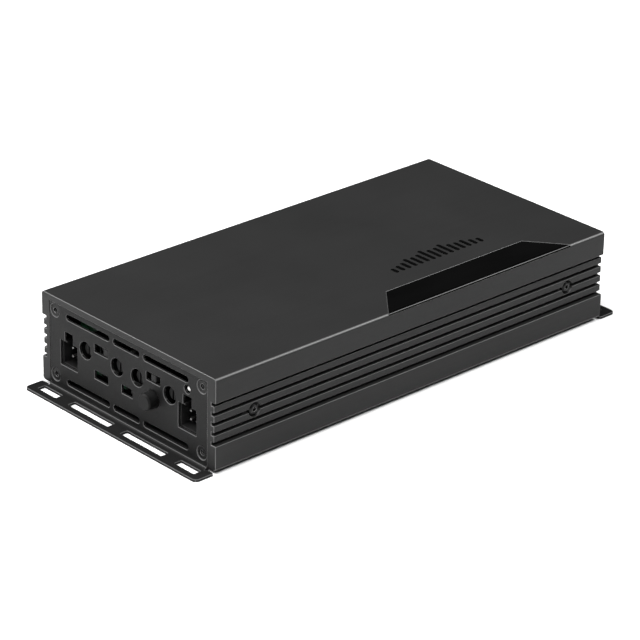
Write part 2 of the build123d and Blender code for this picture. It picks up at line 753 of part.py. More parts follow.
def lead_pairs(places, pitch):
    """Both lead places of each two-lead part that stands at places."""
    return [(x + sign * pitch / 2, y) for x, y in places for sign in (-1, 1)]


def standing_capacitors(places, radius, height, pitch):
    """Electrolytic capacitors on the main board, crimped near the base, with two leads each."""
    base = MAIN_TOP + 0.2
    with BuildPart() as group:
        can = revolved(
            (
                (0, 0),
                (radius - 0.5, 0),
                (radius, 0.5),
                (radius, height * 0.1),
                (radius - 0.5, height * 0.1 + 0.7),
                (radius, height * 0.1 + 1.4),
                (radius, height - 0.5),
                (radius - 0.5, height),
                (radius * 0.7, height),
                (radius * 0.7, height - 0.3),
                (0, height - 0.3),
            )
        )
        with Locations(*[(x, y, base) for x, y in places]):
            add(can)
        with BuildSketch(Plane.XY.offset(LEG_LOW)):
            with Locations(*lead_pairs(places, pitch)):
                Circle(LEAD_R)
        extrude(amount=base + 0.5 - LEG_LOW)
    return group.part


def ring_cores(places, radii, height, lift):
    """Ferrite rings lying flat above the main board."""
    with BuildPart() as group:
        with BuildSketch(Plane.XY.offset(MAIN_TOP + lift)):
            with Locations(*places):
                Circle(radii[1])
                Circle(radii[0], mode=Mode.SUBTRACT)
        extrude(amount=height)
        rims = group.edges().filter_by(GeomType.CIRCLE)
        fillet(rims, 0.8)
    return group.part


def ring_windings(places, radii, height, lift, turns):
    """Copper turns around ring cores: each turn is a closed band standing radially."""
    gap = 0.1
    low = MAIN_TOP + lift - gap
    mid_r = (radii[0] + radii[1]) / 2
    width = radii[1] - radii[0] + 2 * gap
    tall = height + 2 * gap
    band = WINDING_FILL * 2 * math.pi * (radii[0] - WIRE_T) / turns
    with BuildPart() as turn:
        with BuildSketch(Plane.XZ):
            with Locations((mid_r, low + tall / 2)):
                RectangleRounded(width + 2 * WIRE_T, tall + 2 * WIRE_T, 1.0)
                Rectangle(width, tall, mode=Mode.SUBTRACT)
        extrude(amount=band / 2, both=True)
    with BuildPart() as group:
        with Locations(*[(x, y, 0) for x, y in places]):
            with PolarLocations(0, turns):
                add(turn.part)
    return group.part


with BuildPart() as main_board:
    with BuildSketch(Plane.XY.offset(MAIN_BOARD_Z)):
        with Locations((0, (MAIN_BOARD_Y[0] + MAIN_BOARD_Y[1]) / 2)):
            Rectangle(2 * MAIN_BOARD_X, MAIN_BOARD_Y[1] - MAIN_BOARD_Y[0])
        with Locations(
            *lead_pairs(INPUT_CAPS, INPUT_CAP_PITCH),
            *lead_pairs(RAIL_CAPS, RAIL_CAP_PITCH),
            *lead_pairs(SIGNAL_CAPS, SIGNAL_CAP_PITCH),
        ):
            Circle(LEAD_HOLE_R, mode=Mode.SUBTRACT)
        for side, places in ((-1, SUPPLY_Y), (1, OUTPUT_Y)):
            with Locations(*[(side * (TAB_X - 2.6), y) for y in places]):
                with GridLocations(0, LEG_PITCH, 1, 3):
                    Circle(LEAD_HOLE_R, mode=Mode.SUBTRACT)
        with Locations((LINK_X, LINK_PIN_Y)):
            with GridLocations(LEG_PITCH, 0, LINK_COUNT, 1):
                Circle(LEAD_HOLE_R, mode=Mode.SUBTRACT)
        with Locations((POWER_X, REAR_SHROUD_Y - 1.0)):
            with GridLocations(POWER_BLADE_PITCH, 0, 2, 1):
                RectangleRounded(5.4, 1.2, 0.3, mode=Mode.SUBTRACT)
        for row_y in (REAR_SHROUD_Y - 2.0, REAR_SHROUD_Y - 5.0):
            with Locations((SPEAKER_X, row_y)):
                with GridLocations(PIN_PITCH, 0, 4, 1):
                    Circle(0.75, mode=Mode.SUBTRACT)
        with Locations((FUSE_X, REAR_SHROUD_Y - 4.0), (FUSE_X, REAR_SHROUD_Y + 4.0)):
            RectangleRounded(3.2, 1.1, 0.3, mode=Mode.SUBTRACT)
    extrude(amount=BOARD_T)
main_board.part.label = "main_board"
export_step(main_board.part, "parts/main_board.step")

with BuildPart() as input_capacitors:
    add(standing_capacitors(INPUT_CAPS, 8.0, 26.0, INPUT_CAP_PITCH))
input_capacitors.part.label = "input_capacitors"
export_step(input_capacitors.part, "parts/input_capacitors.step")

with BuildPart() as rail_capacitors:
    add(standing_capacitors(RAIL_CAPS, 6.5, 25.0, RAIL_CAP_PITCH))
rail_capacitors.part.label = "rail_capacitors"
export_step(rail_capacitors.part, "parts/rail_capacitors.step")

with BuildPart() as signal_capacitors:
    add(standing_capacitors(SIGNAL_CAPS, 2.5, 7.0, SIGNAL_CAP_PITCH))
signal_capacitors.part.label = "signal_capacitors"
export_step(signal_capacitors.part, "parts/signal_capacitors.step")

with BuildPart() as transformer_core:
    add(ring_cores([TRANSFORMER], CORE_R, CORE_H, RING_LIFT))
transformer_core.part.label = "transformer_core"
export_step(transformer_core.part, "parts/transformer_core.step")

with BuildPart() as transformer_windings:
    add(ring_windings([TRANSFORMER], CORE_R, CORE_H, RING_LIFT, TRANSFORMER_TURNS))
transformer_windings.part.label = "transformer_windings"
export_step(transformer_windings.part, "parts/transformer_windings.step")

with BuildPart() as choke_cores:
    add(ring_cores(CHOKES, CHOKE_R, CHOKE_H, RING_LIFT))
choke_cores.part.label = "choke_cores"
export_step(choke_cores.part, "parts/choke_cores.step")

with BuildPart() as choke_windings:
    add(ring_windings(CHOKES, CHOKE_R, CHOKE_H, RING_LIFT, CHOKE_TURNS))
choke_windings.part.label = "choke_windings"
export_step(choke_windings.part, "parts/choke_windings.step")

with BuildPart() as control_chips:
    chip_size = (7.5, 10.0)
    with BuildSketch(Plane.XY.offset(MAIN_TOP + 0.15)):
        with Locations(*CHIPS):
            Rectangle(*chip_size)
    extrude(amount=2.2)
    with BuildSketch(Plane.XY.offset(MAIN_TOP)):
        with Locations(*CHIPS):
            with GridLocations(0, 1.27, 1, 7):
                Rectangle(chip_size[0] + 2.8, 0.45)
    extrude(amount=0.25)
control_chips.part.label = "control_chips"
export_step(control_chips.part, "parts/control_chips.step")


# ================================================================ control board

with BuildPart() as control_board:
    with BuildSketch(facing(CONTROL_BACK_Y)):
        with Locations((0, (CONTROL_BOARD_Z[0] + CONTROL_BOARD_Z[1]) / 2)):
            RectangleRounded(
                2 * CONTROL_BOARD_X, CONTROL_BOARD_Z[1] - CONTROL_BOARD_Z[0], 1.5
            )
        with Locations(*POT_LEGS, *SWITCH_LEGS, *BUTTON_LEGS, *LED_LEADS):
            Circle(LEG_HOLE, mode=Mode.SUBTRACT)
        with Locations(*HEADER_PINS):
            Circle(0.85, mode=Mode.SUBTRACT)
        with Locations((LINK_X, LINK_Z)):
            with GridLocations(LEG_PITCH, 0, LINK_COUNT, 1):
                Circle(LEG_HOLE, mode=Mode.SUBTRACT)
        with Locations(*STANDOFFS):
            Circle(1.6, mode=Mode.SUBTRACT)
    extrude(amount=BOARD_T)
control_board.part.label = "control_board"
export_step(control_board.part, "parts/control_board.step")

with BuildPart() as panel_standoffs:
    with BuildSketch(facing(CONTROL_BOARD_Y)):
        with Locations(*STANDOFFS):
            RegularPolygon(2.2, 6, major_radius=True)
            Circle(M3_TAPPED_R, mode=Mode.SUBTRACT)
    extrude(amount=SEAT_Y + CONTROL_BOARD_Y)
panel_standoffs.part.label = "panel_standoffs"
export_step(panel_standoffs.part, "parts/panel_standoffs.step")

with BuildPart() as control_board_screws:
    with Locations(*[outward(x, CONTROL_BACK_Y, z, (0, 1, 0)) for x, z in STANDOFFS]):
        add(button_screw(2.6, 1.8, 8.0))
control_board_screws.part.label = "control_board_screws"
export_step(control_board_screws.part, "parts/control_board_screws.step")

with BuildPart() as board_link_header:
    with BuildSketch(Plane.XY.offset(MAIN_TOP)):
        with Locations((LINK_X, LINK_PIN_Y)):
            Rectangle(LEG_PITCH * LINK_COUNT, 2.4)
    extrude(amount=2.5)
    with BuildSketch(Plane.XY.offset(MAIN_TOP)):
        with Locations((LINK_X, LINK_PIN_Y)):
            with GridLocations(LEG_PITCH, 0, LINK_COUNT, 1):
                Rectangle(0.64, 0.64, mode=Mode.ADD)
    extrude(amount=LINK_Z - MAIN_TOP + 0.32, mode=Mode.SUBTRACT)
    with BuildSketch(facing(LINK_PIN_Y)):
        with Locations((LINK_X, LINK_Z)):
            with GridLocations(LEG_PITCH, 0, LINK_COUNT, 1):
                Rectangle(0.64, 0.64)
    extrude(amount=2.0, mode=Mode.SUBTRACT)
board_link_header.part.label = "board_link_header"
export_step(board_link_header.part, "parts/board_link_header.step")

with BuildPart() as board_link_pins:
    with BuildSketch(Plane.XY.offset(LEG_LOW)):
        with Locations((LINK_X, LINK_PIN_Y)):
            with GridLocations(LEG_PITCH, 0, LINK_COUNT, 1):
                Rectangle(0.64, 0.64)
    extrude(amount=LINK_Z + 0.32 - LEG_LOW)
    with BuildSketch(facing(LINK_PIN_Y)):
        with Locations((LINK_X, LINK_Z)):
            with GridLocations(LEG_PITCH, 0, LINK_COUNT, 1):
                Rectangle(0.64, 0.64)
    extrude(amount=LINK_PIN_Y - CONTROL_BOARD_Y + 1.0)
board_link_pins.part.label = "board_link_pins"
export_step(board_link_pins.part, "parts/board_link_pins.step")


# ---------------------------------------------------------------- trimmers

with BuildPart() as trimmer_bodies:
    pot_front_y = CONTROL_BOARD_Y - POT_DEPTH
    pot_places = [(x, POT_Z) for x in POT_X]
    with BuildSketch(facing(CONTROL_BOARD_Y)):
        with Locations(*pot_places):
            RectangleRounded(POT_BODY, POT_BODY, 0.6)
    extrude(amount=POT_DEPTH)
    with BuildSketch(facing(pot_front_y)):
        with Locations(*pot_places):
            Circle(POT_COLLAR[0])
    extrude(amount=POT_COLLAR[1])
    with BuildSketch(facing(POT_DISC_Y[0] + 0.1)):
        with Locations(*pot_places):
            Circle(POT_DISC_R + 0.1)
    extrude(amount=POT_DISC_Y[0] - POT_DISC_Y[1] + 0.2, mode=Mode.SUBTRACT)
    with BuildSketch(facing(POT_DISC_Y[1])):
        with Locations(*pot_places):
            Circle(POT_SHAFT_R + POT_RUNNING)
    extrude(amount=POT_DISC_Y[1] - pot_front_y + POT_COLLAR[1], mode=Mode.SUBTRACT)
    with BuildSketch(facing(LEG_BACK_Y)):
        with Locations(*POT_LEGS):
            Circle(LEGS)
    extrude(amount=LEG_BACK_Y - CONTROL_BOARD_Y + 0.6)
trimmer_bodies.part.label = "trimmer_bodies"
export_step(trimmer_bodies.part, "parts/trimmer_bodies.step")


def trimmer_rotor(x):
    """Slotted shaft of one trimmer, with the disc that holds it in its body."""
    with BuildPart() as rotor:
        with BuildSketch(facing(POT_DISC_Y[0])):
            with Locations((x, POT_Z)):
                Circle(POT_DISC_R)
        extrude(amount=POT_DISC_Y[0] - POT_DISC_Y[1])
        with BuildSketch(facing(POT_DISC_Y[1])):
            with Locations((x, POT_Z)):
                Circle(POT_SHAFT_R)
        extrude(amount=POT_DISC_Y[1] - ROTOR_FACE_Y)
        chamfer(rotor.faces().sort_by(Axis.Y)[0].edges(), length=0.3)
        with BuildSketch(facing(ROTOR_FACE_Y)):
            with Locations((x, POT_Z)):
                Rectangle(1.0, 2 * POT_SHAFT_R + 1)
        extrude(amount=-1.3, mode=Mode.SUBTRACT)
    return rotor


for rotor_name, rotor_x in zip(ROTOR_NAMES, POT_X):
    trimmer = trimmer_rotor(rotor_x)
    trimmer.part.label = f"{rotor_name}_rotor"
    export_step(trimmer.part, f"parts/{rotor_name}_rotor.step")


# ---------------------------------------------------------------- slide switches

with BuildPart() as slide_switch_bodies:
    room_y = CONTROL_BOARD_Y - SWITCH_ROOM_BACK
    lip_y = CONTROL_BOARD_Y - SWITCH_DEPTH + SWITCH_LIP
    switch_centres = [(x, z) for x, z, _ in SWITCH_PLACES]
    with BuildSketch(facing(CONTROL_BOARD_Y)):
        with Locations(*switch_centres):
            RectangleRounded(*SWITCH_BODY, 0.3)
    extrude(amount=SWITCH_DEPTH)
    with BuildSketch(facing(room_y)):
        with Locations(*switch_centres):
            Rectangle(*SWITCH_ROOM)
    extrude(amount=room_y - lip_y, mode=Mode.SUBTRACT)
    with BuildSketch(facing(lip_y)):
        for x, z, window in SWITCH_PLACES:
            with Locations((x, z)):
                Rectangle(window, SLOT_HEIGHT)
    extrude(amount=SWITCH_LIP, mode=Mode.SUBTRACT)
    with BuildSketch(facing(LEG_BACK_Y)):
        with Locations(*SWITCH_LEGS):
            Circle(LEGS)
    extrude(amount=LEG_BACK_Y - CONTROL_BOARD_Y + 0.5)
slide_switch_bodies.part.label = "slide_switch_bodies"
export_step(slide_switch_bodies.part, "parts/slide_switch_bodies.step")


def switch_slider(x, z, sunk):
    """Slider of one switch: a base held behind the body's lip, and a stem out through it."""
    base_front_y = lip_y + 0.05
    tip_y = -FACE_Y + sunk
    with BuildPart() as slider:
        with BuildSketch(facing(base_front_y + SLIDER_BASE[2])):
            with Locations((x, z)):
                Rectangle(SLIDER_BASE[0], SLIDER_BASE[1])
        extrude(amount=SLIDER_BASE[2])
        with BuildSketch(facing(base_front_y)):
            with Locations((x, z)):
                RectangleRounded(SLIDER_WIDTH, SLIDER_STEM_HEIGHT, 0.3)
        extrude(amount=base_front_y - tip_y)
        chamfer(slider.faces().sort_by(Axis.Y)[0].edges(), length=0.25)
    return slider


for slider_name, slider_x, slider_z, rest_offset, sunk_by in SLIDERS:
    moving = switch_slider(slider_x + rest_offset, slider_z, sunk_by)
    moving.part.label = f"{slider_name}_slider"
    export_step(moving.part, f"parts/{slider_name}_slider.step")


# ---------------------------------------------------------------- push button

with BuildPart() as push_switch_body:
    button_room_y = CONTROL_BOARD_Y - BUTTON_ROOM_BACK
    button_lip_y = CONTROL_BOARD_Y - BUTTON_DEPTH + BUTTON_LIP
    with BuildSketch(facing(CONTROL_BOARD_Y)):
        with Locations((BUTTON_X, BUTTON_Z)):
            RectangleRounded(BUTTON_BODY, BUTTON_BODY, 0.5)
    extrude(amount=BUTTON_DEPTH)
    with BuildSketch(facing(button_room_y)):
        with Locations((BUTTON_X, BUTTON_Z)):
            Circle(BUTTON_ROOM_R)
    extrude(amount=button_room_y - button_lip_y, mode=Mode.SUBTRACT)
    with BuildSketch(facing(button_lip_y)):
        with Locations((BUTTON_X, BUTTON_Z)):
            Rectangle(STEM + 0.16, STEM + 0.16)
    extrude(amount=BUTTON_LIP, mode=Mode.SUBTRACT)
    with BuildSketch(facing(LEG_BACK_Y)):
        with Locations(*BUTTON_LEGS):
            Circle(LEGS)
    extrude(amount=LEG_BACK_Y - CONTROL_BOARD_Y + 0.5)
push_switch_body.part.label = "push_switch_body"
export_step(push_switch_body.part, "parts/push_switch_body.step")

with BuildPart() as push_plunger:
    with BuildSketch(facing(COLLAR_Y + COLLAR_T)):
        with Locations((BUTTON_X, BUTTON_Z)):
            Circle(COLLAR_R)
    extrude(amount=COLLAR_T)
    with BuildSketch(facing(COLLAR_Y)):
        with Locations((BUTTON_X, BUTTON_Z)):
            Rectangle(STEM, STEM)
    extrude(amount=COLLAR_Y - STEM_TIP_Y)
push_plunger.part.label = "push_plunger"
export_step(push_plunger.part, "parts/push_plunger.step")

with BuildPart() as push_button_cap:
    with BuildSketch(facing(CAP_BACK_Y)):
        with Locations((BUTTON_X, BUTTON_Z)):
            Circle(BUTTON_R)
    extrude(amount=CAP_BACK_Y - CAP_TIP_Y)
    chamfer(push_button_cap.faces().sort_by(Axis.Y)[0].edges(), length=0.6)
    with BuildSketch(facing(CAP_BACK_Y)):
        with Locations((BUTTON_X, BUTTON_Z)):
            Rectangle(STEM, STEM)
    extrude(amount=CAP_BACK_Y - STEM_TIP_Y, mode=Mode.SUBTRACT)
push_button_cap.part.label = "push_button_cap"
export_step(push_button_cap.part, "parts/push_button_cap.step")

with BuildPart() as push_spring:
    spring_back_y = CONTROL_BOARD_Y - BUTTON_ROOM_BACK - SPRING_WIRE_R - 0.05
    spring_front_y = COLLAR_Y + COLLAR_T + SPRING_WIRE_R + 0.05
    spring_length = spring_back_y - spring_front_y
    with BuildLine() as coil:
        Helix(
            pitch=spring_length / SPRING_TURNS,
            height=spring_length,
            radius=SPRING_R,
            center=(BUTTON_X, spring_back_y, BUTTON_Z),
            direction=(0, -1, 0),
        )
    with BuildSketch(Plane(origin=coil.line @ 0, z_dir=coil.line % 0)):
        Circle(SPRING_WIRE_R)
    sweep(path=coil.line)
push_spring.part.label = "push_spring"
export_step(push_spring.part, "parts/push_spring.step")


# ---------------------------------------------------------------- front headers


def front_shroud(x):
    """Open-fronted shroud on the control board, its roof slotted at the mouth for a latch."""
    mouth_y = -SEAT_Y + SHROUD_REACH
    depth = CONTROL_BOARD_Y - mouth_y
    width = HEADER_WIDTH + 0.6
    height = HEADER_HIGH - HEADER_LOW + 0.6
    with BuildPart() as shroud:
        with BuildSketch(facing(CONTROL_BOARD_Y)):
            with Locations((x, HEADER_MID)):
                RectangleRounded(width, height, 0.6)
        extrude(amount=depth)
        with BuildSketch(facing(CONTROL_BOARD_Y - SHROUD_BACK)):
            with Locations((x, HEADER_MID)):
                Rectangle(width - 2 * SHROUD_WALL, height - 2 * SHROUD_WALL)
        extrude(amount=depth - SHROUD_BACK, mode=Mode.SUBTRACT)
        with BuildSketch(facing(mouth_y)):
            with Locations((x, HEADER_MID + height / 2)):
                Rectangle(LATCH_WIDTH, 2 * SHROUD_WALL + 1.0)
        extrude(amount=-LATCH_SLOT_DEPTH, mode=Mode.SUBTRACT)
        with BuildSketch(facing(CONTROL_BOARD_Y)):
            with Locations((x, HEADER_MID)):
                with GridLocations(PIN_PITCH, PIN_PITCH, 2, 2):
                    Rectangle(PIN_SIDE, PIN_SIDE)
        extrude(amount=SHROUD_BACK, mode=Mode.SUBTRACT)
    return shroud


def front_pins(x):
    """Four straight pins through one shroud and the control board."""
    tip_y = -SEAT_Y + 2.4
    with BuildPart() as pins:
        with BuildSketch(facing(LEG_BACK_Y + 0.4)):
            with Locations((x, HEADER_MID)):
                with GridLocations(PIN_PITCH, PIN_PITCH, 2, 2):
                    Rectangle(PIN_SIDE, PIN_SIDE)
        extrude(amount=LEG_BACK_Y + 0.4 - tip_y)
        chamfer(
            pins.edges().filter_by(lambda e: abs(e.center().Y - tip_y) < 0.01), length=0.3
        )
    return pins


for header_name, header_x in (("left", -HEADER_X), ("right", HEADER_X)):
    header = front_shroud(header_x)
    header.part.label = f"{header_name}_header_shroud"
    export_step(header.part, f"parts/{header_name}_header_shroud.step")
    header_pins = front_pins(header_x)
    header_pins.part.label = f"{header_name}_header_pins"
    export_step(header_pins.part, f"parts/{header_name}_header_pins.step")


# ---------------------------------------------------------------- status light

with BuildPart() as status_light:
    with BuildSketch(Plane(origin=(LED_X, 0, LED_Z), x_dir=(1, 0, 0), z_dir=(0, 0, 1))):
        with BuildLine():
            lens_front_y = LED_TIP_Y + LED_R
            Polyline(
                (0, LED_FLANGE_Y),
                (1.9, LED_FLANGE_Y),
                (1.9, LED_FLANGE_Y - 1.0),
                (LED_R, LED_FLANGE_Y - 1.0),
                (LED_R, lens_front_y),
            )
            RadiusArc((LED_R, lens_front_y), (0, LED_TIP_Y), LED_R)
            Line((0, LED_TIP_Y), (0, LED_FLANGE_Y))
        make_face()
    revolve(axis=Axis((LED_X, 0, LED_Z), (0, 1, 0)))
status_light.part.label = "status_light"
export_step(status_light.part, "parts/status_light.step")

with BuildPart() as status_light_spacer:
    with BuildSketch(facing(CONTROL_BOARD_Y)):
        with Locations((LED_X, LED_Z)):
            Circle(2.1)
        with Locations(*LED_LEADS):
            Rectangle(0.6, 0.6, mode=Mode.SUBTRACT)
    extrude(amount=CONTROL_BOARD_Y - LED_FLANGE_Y)
status_light_spacer.part.label = "status_light_spacer"
export_step(status_light_spacer.part, "parts/status_light_spacer.step")

with BuildPart() as status_light_leads:
    with BuildSketch(facing(LEG_BACK_Y)):
        with Locations(*LED_LEADS):
            Rectangle(0.5, 0.5)
    extrude(amount=LEG_BACK_Y - LED_FLANGE_Y)
status_light_leads.part.label = "status_light_leads"
export_step(status_light_leads.part, "parts/status_light_leads.step")


# ================================================================ rear connections
def rear_shroud(x, size, slots):
    """Open-backed shroud standing on the main board, its back wall cut for its contacts."""
    mouth_y = SEAT_Y - SHROUD_REACH
    width = size[0] + 0.6
    height = size[1] + 0.6
    with BuildPart() as shroud:
        with BuildSketch(facing(REAR_SHROUD_Y)):
            with Locations((x, REAR_MID_Z)):
                RectangleRounded(width, height, 0.6)
            base_high = REAR_MID_Z - height / 2 + 0.6
            with Locations((x, (MAIN_TOP + base_high) / 2)):
                Rectangle(width - 1.6, base_high - MAIN_TOP)
        extrude(amount=-(mouth_y - REAR_SHROUD_Y - 3.0))
        with BuildSketch(facing(REAR_SHROUD_Y)):
            with Locations((x, REAR_MID_Z)):
                RectangleRounded(width, height, 0.6)
        extrude(amount=-(mouth_y - REAR_SHROUD_Y))
        with BuildSketch(facing(REAR_SHROUD_Y + SHROUD_BACK)):
            with Locations((x, REAR_MID_Z)):
                Rectangle(width - 2 * SHROUD_WALL, height - 2 * SHROUD_WALL)
        extrude(amount=-(mouth_y - REAR_SHROUD_Y - SHROUD_BACK), mode=Mode.SUBTRACT)
        with BuildSketch(Plane.YZ.offset(x - LATCH_RIB[0] / 2)):
            roof_z = REAR_MID_Z + height / 2
            with BuildLine():
                Polyline(
                    (mouth_y - LATCH_RAMP[0], roof_z - 0.1),
                    (mouth_y - LATCH_RAMP[1], roof_z + LATCH_RIB[1]),
                    (mouth_y - LATCH_RAMP[2], roof_z + LATCH_RIB[1]),
                    (mouth_y - LATCH_RAMP[2], roof_z - 0.1),
                    close=True,
                )
            make_face()
        extrude(amount=LATCH_RIB[0])
        with BuildSketch(facing(REAR_SHROUD_Y)):
            for slot_x, slot_z, slot_w, slot_h in slots:
                with Locations((slot_x, slot_z)):
                    Rectangle(slot_w, slot_h)
        extrude(amount=-SHROUD_BACK, mode=Mode.SUBTRACT)
    return shroud


power_header = rear_shroud(POWER_X, POWER_SIZE, POWER_SLOTS)
power_header.part.label = "power_header_shroud"
export_step(power_header.part, "parts/power_header_shroud.step")

speaker_header = rear_shroud(SPEAKER_X, SPEAKER_SIZE, SPEAKER_SLOTS)
speaker_header.part.label = "speaker_header_shroud"
export_step(speaker_header.part, "parts/speaker_header_shroud.step")

with BuildPart() as power_blades:
    blade_foot_y = REAR_SHROUD_Y - 1.4
    with BuildSketch(facing(blade_foot_y)):
        for blade_x, blade_z, blade_w, blade_h in POWER_SLOTS:
            with Locations((blade_x, blade_z)):
                Rectangle(blade_w, blade_h)
    extrude(amount=-(CONTACT_TIP_Y - blade_foot_y))
    with BuildSketch(Plane.XY.offset(LEG_LOW)):
        for blade_x, _, blade_w, blade_h in POWER_SLOTS:
            with Locations((blade_x, blade_foot_y + blade_h / 2)):
                Rectangle(blade_w, blade_h)
    extrude(amount=REAR_MID_Z + BLADE[1] / 2 - LEG_LOW)
power_blades.part.label = "power_blades"
export_step(power_blades.part, "parts/power_blades.step")

with BuildPart() as speaker_pins:
    for pin_x, pin_z, pin_w, pin_h in SPEAKER_SLOTS:
        foot_y = REAR_SHROUD_Y - (2.0 if pin_z < REAR_MID_Z else 5.0)
        with BuildSketch(facing(foot_y - pin_h / 2)):
            with Locations((pin_x, pin_z)):
                Rectangle(pin_w, pin_h)
        extrude(amount=-(CONTACT_TIP_Y - foot_y + pin_h / 2))
        with BuildSketch(Plane.XY.offset(LEG_LOW)):
            with Locations((pin_x, foot_y)):
                Rectangle(pin_w * 0.9, pin_h)
        extrude(amount=pin_z - LEG_LOW)
speaker_pins.part.label = "speaker_pins"
export_step(speaker_pins.part, "parts/speaker_pins.step")

with BuildPart() as fuse_holder:
    with BuildSketch(Plane.XY.offset(MAIN_TOP)):
        with Locations((FUSE_X, REAR_SHROUD_Y + 3.0)):
            Rectangle(FUSE_HOLDER[0], FUSE_HOLDER[1])
    extrude(amount=FUSE_HOLDER[2])
    with BuildSketch(facing(REAR_SHROUD_Y + 10.0)):
        with Locations((FUSE_X, REAR_MID_Z)):
            Rectangle(5.6, 14.6)
    extrude(amount=9.0, mode=Mode.SUBTRACT)
fuse_holder.part.label = "fuse_holder"
export_step(fuse_holder.part, "parts/fuse_holder.step")

with BuildPart() as blade_fuse:
    with BuildSketch(facing(REAR_SHROUD_Y + 4.0)):
        with Locations((FUSE_X, REAR_MID_Z)):
            RectangleRounded(5.0, 14.0, 0.8)
    extrude(amount=-(SEAT_Y - 1.0 - REAR_SHROUD_Y - 4.0))
    with BuildSketch(facing(REAR_SHROUD_Y + 1.2)):
        with Locations((FUSE_X, REAR_MID_Z)):
            with GridLocations(0, 9.6, 1, 2):
                Rectangle(0.7, 3.6)
    extrude(amount=-3.0)
blade_fuse.part.label = "blade_fuse"
export_step(blade_fuse.part, "parts/blade_fuse.step")
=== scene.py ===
import json
import math

import bmesh
import bpy
from mathutils import Matrix, Vector


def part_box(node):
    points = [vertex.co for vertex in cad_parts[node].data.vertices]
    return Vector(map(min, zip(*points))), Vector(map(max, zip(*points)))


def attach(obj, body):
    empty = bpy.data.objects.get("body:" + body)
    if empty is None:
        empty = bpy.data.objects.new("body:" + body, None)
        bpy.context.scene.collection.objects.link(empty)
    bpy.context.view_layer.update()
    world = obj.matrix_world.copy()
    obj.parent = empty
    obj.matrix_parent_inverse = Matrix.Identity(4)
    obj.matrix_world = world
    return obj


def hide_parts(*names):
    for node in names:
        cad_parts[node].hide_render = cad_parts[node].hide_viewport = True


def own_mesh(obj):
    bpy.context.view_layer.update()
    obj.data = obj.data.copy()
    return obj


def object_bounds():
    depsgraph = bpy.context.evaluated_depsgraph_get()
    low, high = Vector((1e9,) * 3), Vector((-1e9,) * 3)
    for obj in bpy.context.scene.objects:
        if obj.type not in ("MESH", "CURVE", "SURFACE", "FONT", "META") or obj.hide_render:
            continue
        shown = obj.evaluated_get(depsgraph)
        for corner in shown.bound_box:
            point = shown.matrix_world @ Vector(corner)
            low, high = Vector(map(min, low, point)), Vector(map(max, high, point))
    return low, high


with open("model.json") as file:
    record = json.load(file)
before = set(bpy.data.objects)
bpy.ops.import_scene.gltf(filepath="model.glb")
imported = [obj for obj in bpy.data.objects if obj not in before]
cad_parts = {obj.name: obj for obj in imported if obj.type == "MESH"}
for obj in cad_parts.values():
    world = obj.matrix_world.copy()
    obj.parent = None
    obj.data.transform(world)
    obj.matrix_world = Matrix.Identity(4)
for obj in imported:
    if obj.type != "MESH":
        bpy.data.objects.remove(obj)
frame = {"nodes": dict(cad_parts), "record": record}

MM = 0.001
cad_low, cad_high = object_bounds()


# ---------------------------------------------------------------- materials
BEVEL_SAMPLES = 8
INPUT_NAMES = {
    "base_color": "Base Color",
    "metallic": "Metallic",
    "roughness": "Roughness",
    "specular": "Specular IOR Level",
    "coat": "Coat Weight",
    "coat_roughness": "Coat Roughness",
    "transmission": "Transmission Weight",
    "anisotropic": "Anisotropic",
}


